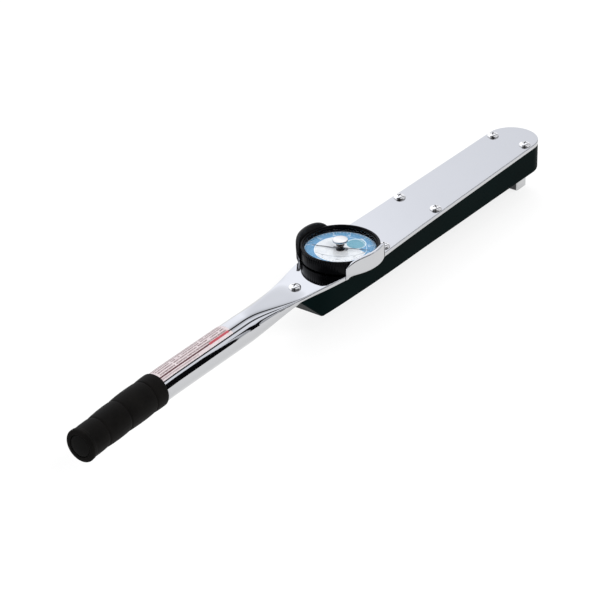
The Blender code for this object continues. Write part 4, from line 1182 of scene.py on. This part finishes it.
def detent_spring():
    """Coil along X, from the bottom of the ball's hole to the ball."""
    turns, coil_r, wire_r, steps, sides = 4.0, 1.45, 0.21, 112, 12
    x0 = SQUARE / 2 - 7.15
    x1 = BALL_X - sqrt(BALL_R ** 2 - coil_r ** 2) - 0.6
    run = 2 * pi * turns * coil_r
    outlines = []
    for k in range(steps + 1):
        t = k / steps
        angle = 2 * pi * turns * t
        centre = Vector((
            x0 + wire_r + (x1 - x0 - 2 * wire_r) * t,
            coil_r * cos(angle), BALL_Z + coil_r * sin(angle),
        ))
        tangent = Vector((x1 - x0, -run * sin(angle), run * cos(angle))).normalized()
        outward = Vector((0, cos(angle), sin(angle)))
        sideways = tangent.cross(outward).normalized()
        outlines.append([
            centre + outward * (wire_r * cos(2 * pi * side / sides))
            + sideways * (wire_r * sin(2 * pi * side / sides))
            for side in range(sides)
        ])
    finish_spring(
        mesh_object("detent_spring_skin", loft(outlines), 60), "detent_spring")


detent_spring()

bush_r, bush_low, bush_floor = LOWER_R + 0.25, PLATE_TOP + LOW_Z + 0.15, PLATE_TOP + FLOOR_Z + 0.1
bush = revolve(rounded([
    (bush_r, bush_low, 0.3), (10.0, bush_low, 0.2), (10.0, bush_floor, 0),
    (10.3, bush_floor, 0), (10.3, HUB_Z0 - 0.15, 0.1), (bush_r, HUB_Z0 - 0.15, 0.1),
]), 80, ring=True)
finish_piece(mesh_object("lower_bush_skin", bush, 40), BRONZE, "frame", "bronze", "lower_bush")

BEAM_HALF = 7.0
BEAM_SIDE = [    # x, half width, from the hub rearwards
    (-3.2, BEAM_HALF), (-24, BEAM_HALF), (-30, BEAM_HALF - 0.3), (-160, BEAM_HALF - 0.3),
    (-164, BEAM_HALF),
    *((LOAD_X - 4 * sin(a), BEAM_HALF - 0.5 * (1 - cos(a))) for a in (0.2, 0.6, 1.0)),
    (-177.0, BEAM_HALF - 1.6),
]


def beam_half(x):
    for (x0, y0), (x1, y1) in zip(BEAM_SIDE, BEAM_SIDE[1:]):
        if x1 <= x <= x0:
            return y0 + (y1 - y0) * (x - x0) / (x1 - x0)


def beam_outline(x):
    width, low, high, edge = beam_half(x), 23.8, 36.2, 0.35
    ring = (
        (width, low + edge), (width, high - edge), (width - edge, high), (-width + edge, high),
        (-width, high - edge), (-width, low + edge), (-width + edge, low), (width - edge, low),
    )
    return [(x, y, z) for y, z in ring]


# even steps along the beam between the hub and the load pins
beam_stations = {-24.0, -30.0, -160.0, -164.0}
beam_stations |= {round(-3.2 - 173.8 * k / 70, 3) for k in range(71)}
beam_solid = loft([beam_outline(x) for x in sorted(beam_stations, reverse=True)])
beam = mesh_object("measuring_beam_skin", beam_solid, 30)
cut(beam, beam_pin_hole(), 30)
finish_spring(
    beam, "measuring_beam")

# ------------------------------------------------------------------ dial: case, bezel, face, lens
CASE_R = 25.6
case_in, case_neck = CASE_R - 1.4, CASE_R - 0.7
case = mesh_object("dial_case_skin", revolve(rounded([
    (4.3, 0.25, 0.1), (CASE_R - 1.0, 0.25, 0.3), (CASE_R, 1.0, 0.2), (CASE_R, 1.8, 0),
    (case_neck, 1.9, 0), (case_neck, 2.9, 0), (CASE_R, 3.0, 0), (CASE_R, 4.1, 0.2),
    (case_in, 4.1, 0.1), (case_in, 1.3, 0.2), (4.3, 1.3, 0.1),
]), 96, ring=True, centre=DIAL), 40)
cut(case, rods([(x, y, PLATE_TOP - 1, PLATE_TOP + 3, CASE_HOLE_R) for x, y in CASE_SCREWS], 20))
finish_piece(case, CASE_BLACK_AND_PAINTED_SHADE, "frame", "dark_plastic", "dial_case")

KNURLS = 90
KNURL_R = BEZEL_R - 0.02
BEZEL_BORE, LENS_SEAT_R = 26.15, 25.2
BEZEL_CORNERS = [    # radius, height, fillet
    (BEZEL_R - 0.5, 0.7, 0.15), (BEZEL_R, 1.1, 0.15), (BEZEL_R, 7.6, 0.0), (KNURL_R, 7.65, 0.0),
    (KNURL_R, 9.5, 0.0), (BEZEL_R, 9.55, 0.0), (BEZEL_R, BEZEL_TOP - 0.3, 0.15),
    (BEZEL_R - 0.5, BEZEL_TOP, 0.25), (26.5, BEZEL_TOP, 0.2), (BEZEL_BORE, BEZEL_TOP - 0.4, 0.15),
    (BEZEL_BORE, 7.35, 0), (LENS_SEAT_R, 7.2, 0), (LENS_SEAT_R, 5.8, 0), (BEZEL_BORE, 5.8, 0),
    (BEZEL_BORE, 2.95, 0), (26.6, 2.85, 0), (26.6, 2.05, 0), (BEZEL_BORE, 1.95, 0),
    (BEZEL_BORE, 0.7, 0.1),
]


def knurl(angle, radius, height):
    if abs(radius - KNURL_R) < 0.005 and 7.64 < height < 9.51:
        return -0.30 * max(0.0, cos(KNURLS * angle)) ** 1.5
    return 0.0


bezel = revolve(rounded(BEZEL_CORNERS, steps=3), KNURLS * 6, ring=True, wave=knurl)
finish_piece(
    mesh_object("bezel_ring_skin", bezel, 40), BEZEL_BLACK, "bezel", "bezel_black", "bezel_ring",
    at=DIAL, weighted=False)


def dial_disc(name, corners, centre):
    """A turned ring about the dial axis, from (radius, height, fillet) corners."""
    return mesh_object(name, revolve(rounded(corners), 144, ring=True, centre=centre), 40)


DISC_R = 25.9
lens_ring = dial_disc("lens_ring_skin", [
    (24.9, 8.72, 0.08), (25.95, 8.72, 0.05), (25.95, 9.35, 0.1), (25.4, 9.35, 0.12),
], (0, 0, 0))
finish_piece(lens_ring, BEZEL_BLACK, "bezel", "bezel_black", "lens_ring", at=DIAL)
dial_face = dial_disc("dial_face_skin", [
    (2.1, FACE_Z - 0.8, 0), (DISC_R, FACE_Z - 0.8, 0), (DISC_R, FACE_Z, 0.1), (2.1, FACE_Z, 0.1),
], DIAL)
finish_piece(dial_face, DIAL_PRINT_AND_SHADE, "bezel", "dial_print", "dial_face")
lens = dial_disc("lens_skin", [
    (1.95, 7.5, 0.1), (DISC_R, 7.5, 0.15), (DISC_R, 8.6, 0.25), (1.95, 8.6, 0.15),
], DIAL)
finish_piece(lens, LENS, "bezel", "crystal", "lens")
lens.visible_shadow = False

# ------------------------------------------------------------------ dial scales
# both scales start under the main pointer at rest: the outer runs clockwise, the inner back
SCALE_SWEEP = radians(300)


def in_field(angle, end):
    """Whether an angle falls in the stretch the inner scale leaves bare."""
    turn = degrees(angle) % 360
    return turn > 350 or turn < end


def tick(solid, angle, r0, r1, width):
    z0, z1 = FACE_Z - 0.015, FACE_Z + 0.022
    corners = []
    for r, w in ((r0, -width / 2), (r1, -width / 2), (r1, width / 2), (r0, width / 2)):
        x = r * cos(angle) - w * sin(angle)
        y = r * sin(angle) + w * cos(angle)
        corners.append([solid.verts.new((x, y, z)) for z in (z0, z1)])
    walls(solid, list(zip(*corners)))


def print_on_dial(node, mat):
    finish_piece(node, mat, "bezel", "dial_print", at=DIAL, weighted=False)


ticks = bmesh.new()
for k in range(51):
    r0, width = (22.0, 0.34) if k % 5 == 0 else (23.2, 0.20)
    tick(ticks, POINTER_TURN - SCALE_SWEEP * k / 50, r0, 25.0, width)
print_on_dial(mesh_object("dial_ticks_outer", ticks, 30), INK_WHITE)
ticks = bmesh.new()
for k in range(41):
    angle = POINTER_TURN + SCALE_SWEEP * k / 40
    r0, width = (16.2, 0.22) if k % 4 == 0 else (17.0, 0.14)
    if not in_field(angle, 96):
        tick(ticks, angle, r0, 17.9, width)
print_on_dial(mesh_object("dial_ticks_inner", ticks, 30), INK_DARK)


def number_text(value, angle, radius, size):
    curve = bpy.data.curves.new("digits", "FONT")
    curve.body = str(value)
    curve.size = size * MM
    curve.extrude = 0.018 * MM
    curve.align_x = "CENTER"
    curve.align_y = "CENTER"
    curve.resolution_u = 3
    text = link("digits", curve)
    place = Vector((radius * cos(angle), radius * sin(angle), FACE_Z + 0.012)) * MM
    text.matrix_world = Matrix.Translation(place) @ Matrix.Rotation(angle - pi / 2, 4, "Z")
    return text


def numbers(name, mat, values, radius, size, direction, field_end=None):
    """One mesh of all a scale's numbers; direction 1 is clockwise."""
    texts = []
    for i, value in enumerate(values):
        angle = POINTER_TURN - direction * SCALE_SWEEP * i / (len(values) - 1)
        if field_end is None or not in_field(angle, field_end):
            texts.append(number_text(value, angle, radius, size))
    bpy.context.view_layer.update()
    depsgraph = bpy.context.evaluated_depsgraph_get()
    joined = bmesh.new()
    for text in texts:
        mesh = bpy.data.meshes.new_from_object(text.evaluated_get(depsgraph))
        mesh.transform(text.matrix_world)
        joined.from_mesh(mesh)
        bpy.data.meshes.remove(mesh)
        bpy.data.objects.remove(text, do_unlink=True)
    bmesh.ops.remove_doubles(joined, verts=joined.verts[:], dist=1e-7)
    mesh = bpy.data.meshes.new(name)
    joined.to_mesh(mesh)
    joined.free()
    print_on_dial(link(name, mesh), mat)


numbers(
    "dial_numbers_outer", INK_WHITE, range(0, 251, 25), radius=20.3, size=2.3, direction=1)
numbers(
    "dial_numbers_inner", INK_DARK, range(0, 301, 50), radius=14.6, size=1.9, direction=-1,
    field_end=112)


# ------------------------------------------------------------------ needles and knob
def needle(name, hub_r, length, tail, width, z0, z1, hole):
    """A needle along +X with a round hub; hole is its (bottom, top, radius)."""
    neck = asin(width / 2 / hub_r)
    outline = [(length, 0.10)]
    outline += arc(0, 0, hub_r, neck, pi - neck * 1.4, 20)
    outline += [(-tail + 0.3, width * 0.85), (-tail, width * 0.5)]
    outline += [(-tail, -width * 0.5), (-tail + 0.3, -width * 0.85)]
    outline += arc(0, 0, hub_r, pi + neck * 1.4, 2 * pi - neck, 20)
    outline += [(length, -0.10)]
    node = mesh_object(name, soft_prism(outline, z0, z1), 40)
    cut(node, rods([(0, 0, *hole)]))
    return node


pointer = needle(
    "main_pointer_skin", hub_r=2.3, length=20.5, tail=5.5, width=1.1, z0=6.0, z1=6.3,
    hole=(5, 7.2, 1.05))
finish_piece(
    pointer, NEEDLE_BLACK, "pointer", "needle_black", "main_pointer", at=DIAL, turn=POINTER_TURN)
memory = needle(
    "memory_needle_skin", hub_r=2.6, length=21.0, tail=5.0, width=1.0, z0=6.8, z1=7.1,
    hole=(6.4, 7.6, 1.65))
finish_piece(
    memory, NEEDLE_BLACK, "memory", "needle_black", "memory_needle", at=DIAL, turn=MEMORY_TURN)

KNOB_R = 5.45
KNOB_PROFILE = (    # radius, height
    (0, 6.72), (1.3, 6.72), (1.5, 6.9), (1.5, 8.85), (2.7, 8.85), (2.88, 8.95), (2.9, 9.1),
    (2.9, 9.45), (2.75, 9.65), (2.4, 10.0), (2.3, 10.3), (2.3, 11.5), (2.5, 11.85), (2.9, 12.0),
    (KNOB_R - 0.35, 12.0), (KNOB_R - 0.1, 12.08), (KNOB_R, 12.3), (KNOB_R, 12.5), (KNOB_R, 13.0),
    (KNOB_R, 13.1), (KNOB_R - 0.1, 13.35), (KNOB_R - 0.35, 13.5), (KNOB_R - 0.8, 13.55),
    (3.2, 13.62), (0, 13.65),
)


def knob_flutes(angle, radius, height):
    if radius > KNOB_R - 0.08 and 12.35 < height < 13.2:
        return -0.16 * max(0.0, cos(40 * angle)) ** 2
    return 0.0


knob = mesh_object("memory_knob_skin", revolve(KNOB_PROFILE, 240, wave=knob_flutes), 40)
finish_piece(knob, CHROME_KNOB, "memory", "chrome", "memory_knob", at=DIAL)
paint(knob, CHROME_STEM, lambda centre, normal: centre.z / MM < 12.04)

# ------------------------------------------------------------------ inner pieces kept from the CAD
KEPT_PIECES = (
    (BRONZE, ("upper_bush",)),
    (BRASS, ("pinion_bracket", "spindle_bush")),
    (ALLOY, ("rack_arm",)),
    (SPRING, ("hairspring", "friction_spring", "bezel_snap_ring")),
    (STEEL, (
        "load_block_left", "load_block_right", "load_block_screw_left", "load_block_screw_right",
        "load_pin_left", "load_pin_right", "bracket_screw_left", "bracket_screw_right",
        "case_screw_1", "case_screw_2", "case_screw_3", "beam_pin", "arm_screw_left",
        "arm_screw_right", "thrust_washer", "pinion_shaft",
    )),
)
for mat, names in KEPT_PIECES:
    for name in names:
        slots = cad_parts[name].data.materials
        if slots:
            for i in range(len(slots)):
                slots[i] = mat
        else:
            slots.append(mat)


# ------------------------------------------------------------------ stage: floor and flag
def sheet(name, *quads):
    solid = bmesh.new()
    for quad in quads:
        solid.faces.new([solid.verts.new(point) for point in quad])
    return mesh_object(name, solid)


def floor_shader(net):
    """Glowing white floor, brighter to the camera, dark to some reflections."""
    tone = net.noise(3.0, detail=2.0)
    diffuse = net.node("ShaderNodeBsdfDiffuse")
    net.put(diffuse.inputs[0], net.mix(net.map(tone), (0.90, 0.90, 0.905), (0.92, 0.92, 0.92)))
    glow = net.emission((1.0, 1.0, 1.0))
    path = net.node("ShaderNodeLightPath")
    strength = net.mix(path.outputs["Is Camera Ray"], (0.92, 0.92, 0.94), (1.03, 1.03, 1.03))
    net.put(glow.inputs[1], strength)
    white = net.mix_shaders(0.72, diffuse, glow)
    # reflected rays that head rearwards (-X) and to the left (+Y) meet a dark floor
    geometry = net.node("ShaderNodeNewGeometry")
    incoming_x, incoming_y, _ = net.axes(geometry.outputs["Incoming"])
    back = net.times(
        net.map(incoming_x, (0.05, 0.45), to=(0.0, 0.92), curve="SMOOTHSTEP"),
        path.outputs["Is Glossy Ray"])
    back = net.times(
        back, net.map(incoming_y, (-0.30, 0.0), to=(1.0, 0.0), curve="SMOOTHSTEP"))
    return net.mix_shaders(back, white, net.emission((0.02, 0.02, 0.022)))


FLOOR_HALF, FLOOR_X, FLOOR_TOP = 2600, -240, -0.6
floor = sheet("floor", [
    (FLOOR_X + x * FLOOR_HALF, y * FLOOR_HALF, FLOOR_TOP)
    for x, y in ((-1, -1), (1, -1), (1, 1), (-1, 1))
])
floor.data.materials.append(shade("floor_white", floor_shader))

# black sheets on the right (-Y), seen only in reflections
flag = sheet(
    "studio_flag",
    ((-950, -300, 15), (-100, -300, 15), (-88, -300, 240), (-950, -300, 240)),
    ((-84, -300, 15), (-52, -300, 15), (-46, -300, 200), (-76, -300, 200)),
)
flag.data.materials.append(shade("flag_black", lambda net: net.emission((0.004, 0.004, 0.005))))
for ray in ("camera", "diffuse", "shadow", "transmission", "volume_scatter"):
    setattr(flag, "visible_" + ray, False)

# ------------------------------------------------------------------ world
# softboxes and the dark gaps between them, as bands along the wrench:
# degrees from overhead towards +Y, brightness
BANDS = (
    (-180, 0.85), (-101, 0.92), (-93, 0.60), (-84, 0.42), (-76, 0.62), (-62, 0.90), (-49, 1.02),
    (-44, 0.95), (-42, 0.05), (-33, 0.05), (-31, 0.92), (-24, 1.05), (-14, 0.80), (-8, 0.70),
    (-6, 0.04), (4, 0.04), (6, 0.78), (11, 0.9), (23, 1.12), (35, 1.20), (47, 1.20), (59, 1.20),
    (83, 1.12), (107, 0.85), (131, 0.6), (180, 0.85),
)
# brightness along the wrench: share of the span of direction x, factor
ALONG = (
    (0.0, 1.12), (0.12, 1.19), (0.25, 1.20), (0.36, 1.14), (0.47, 1.06), (0.62, 0.98),
    (0.9, 0.91), (1.0, 0.90),
)


def build_world():
    """Bands for reflections, a soft vertical ramp for other rays, white for the camera."""
    world = bpy.data.worlds.new("studio")
    bpy.context.scene.world = world
    net, output = start_net(world, "ShaderNodeOutputWorld")
    direction = net.place("Generated")
    x, y, z = net.axes(direction)
    turn = net.math("DIVIDE", net.math("ARCTAN2", y, z), 2 * pi)
    bands = net.ramp(
        net.plus(turn, 0.5), [(angle / 360 + 0.5, value) for angle, value in BANDS])
    # a dark patch high over the rear
    toward = net.vector_math("DOT_PRODUCT", direction, (-0.696, -0.123, 0.707))
    patch = net.map(toward, (0.74, 0.88), to=(1.0, 0.03), curve="SMOOTHSTEP")
    glossy = net.vector_math("SCALE", bands, patch)
    along = net.ramp(net.map(x, (0.66, 0.78)), ALONG)
    glossy = net.vector_math("SCALE", glossy, along)
    glossy = net.vector_math("MULTIPLY", glossy, (0.965, 0.985, 1.045))
    path = net.node("ShaderNodeLightPath")
    soft = net.ramp(net.plus(net.times(z, 0.5), 0.5), [(0.0, 0.75), (0.5, 0.82), (1.0, 1.05)])
    plain = net.mix(path.outputs["Is Camera Ray"], soft, (1.0, 1.0, 1.0))
    background = net.node("ShaderNodeBackground")
    net.put(background.inputs[0], net.mix(path.outputs["Is Glossy Ray"], plain, glossy))
    net.put(output.inputs[0], background.outputs[0])


build_world()


# ------------------------------------------------------------------ lights and camera (metres)
def aim(node, target):
    way = Vector(target) - Vector(node.location)
    node.rotation_quaternion = way.to_track_quat("-Z", "Y")


def area(name, location, size_x, size_y, power):
    """A rectangular light, hidden from reflections and aimed at the middle of the wrench."""
    data = bpy.data.lights.new(name, "AREA")
    data.energy = power
    data.shape = "RECTANGLE"
    data.size = size_x
    data.size_y = size_y
    node = link(name, data)
    node.location = location
    node.rotation_mode = "QUATERNION"
    aim(node, (-0.25, 0, 0.03))
    node.visible_glossy = False


area("key", (-0.5, -0.9, 0.9), size_x=0.7, size_y=0.5, power=7.0)
area("fill", (0.4, 0.7, 1.0), size_x=0.9, size_y=0.9, power=4.0)


def add_camera():
    azimuth, elevation, roll = radians(52.57170), radians(30.02018), radians(-1.64281)
    target, distance = Vector((-291.977, -12.948, 43.1)) * MM, 1.654479
    forward = Vector((
        sin(azimuth) * cos(elevation), cos(azimuth) * cos(elevation), -sin(elevation)))
    right = Vector((cos(azimuth), -sin(azimuth), 0))
    up = right.cross(forward)
    rolled_right = right * cos(roll) + up * sin(roll)
    rolled_up = -right * sin(roll) + up * cos(roll)
    data = bpy.data.cameras.new("camera")
    data.type = "PERSP"
    data.sensor_width = 36.0
    data.lens = 147.2538
    data.clip_start, data.clip_end = 0.05, 60.0
    camera = link("camera", data)
    matrix = Matrix((rolled_right, rolled_up, -forward)).transposed().to_4x4()
    matrix.translation = target - forward * distance
    camera.matrix_world = matrix
    bpy.context.scene.camera = camera


add_camera()
view = bpy.context.scene.view_settings
view.view_transform = "Standard"
view.look = "None"
view.exposure = 0.0
view.gamma = 1.0

bpy.context.view_layer.update()
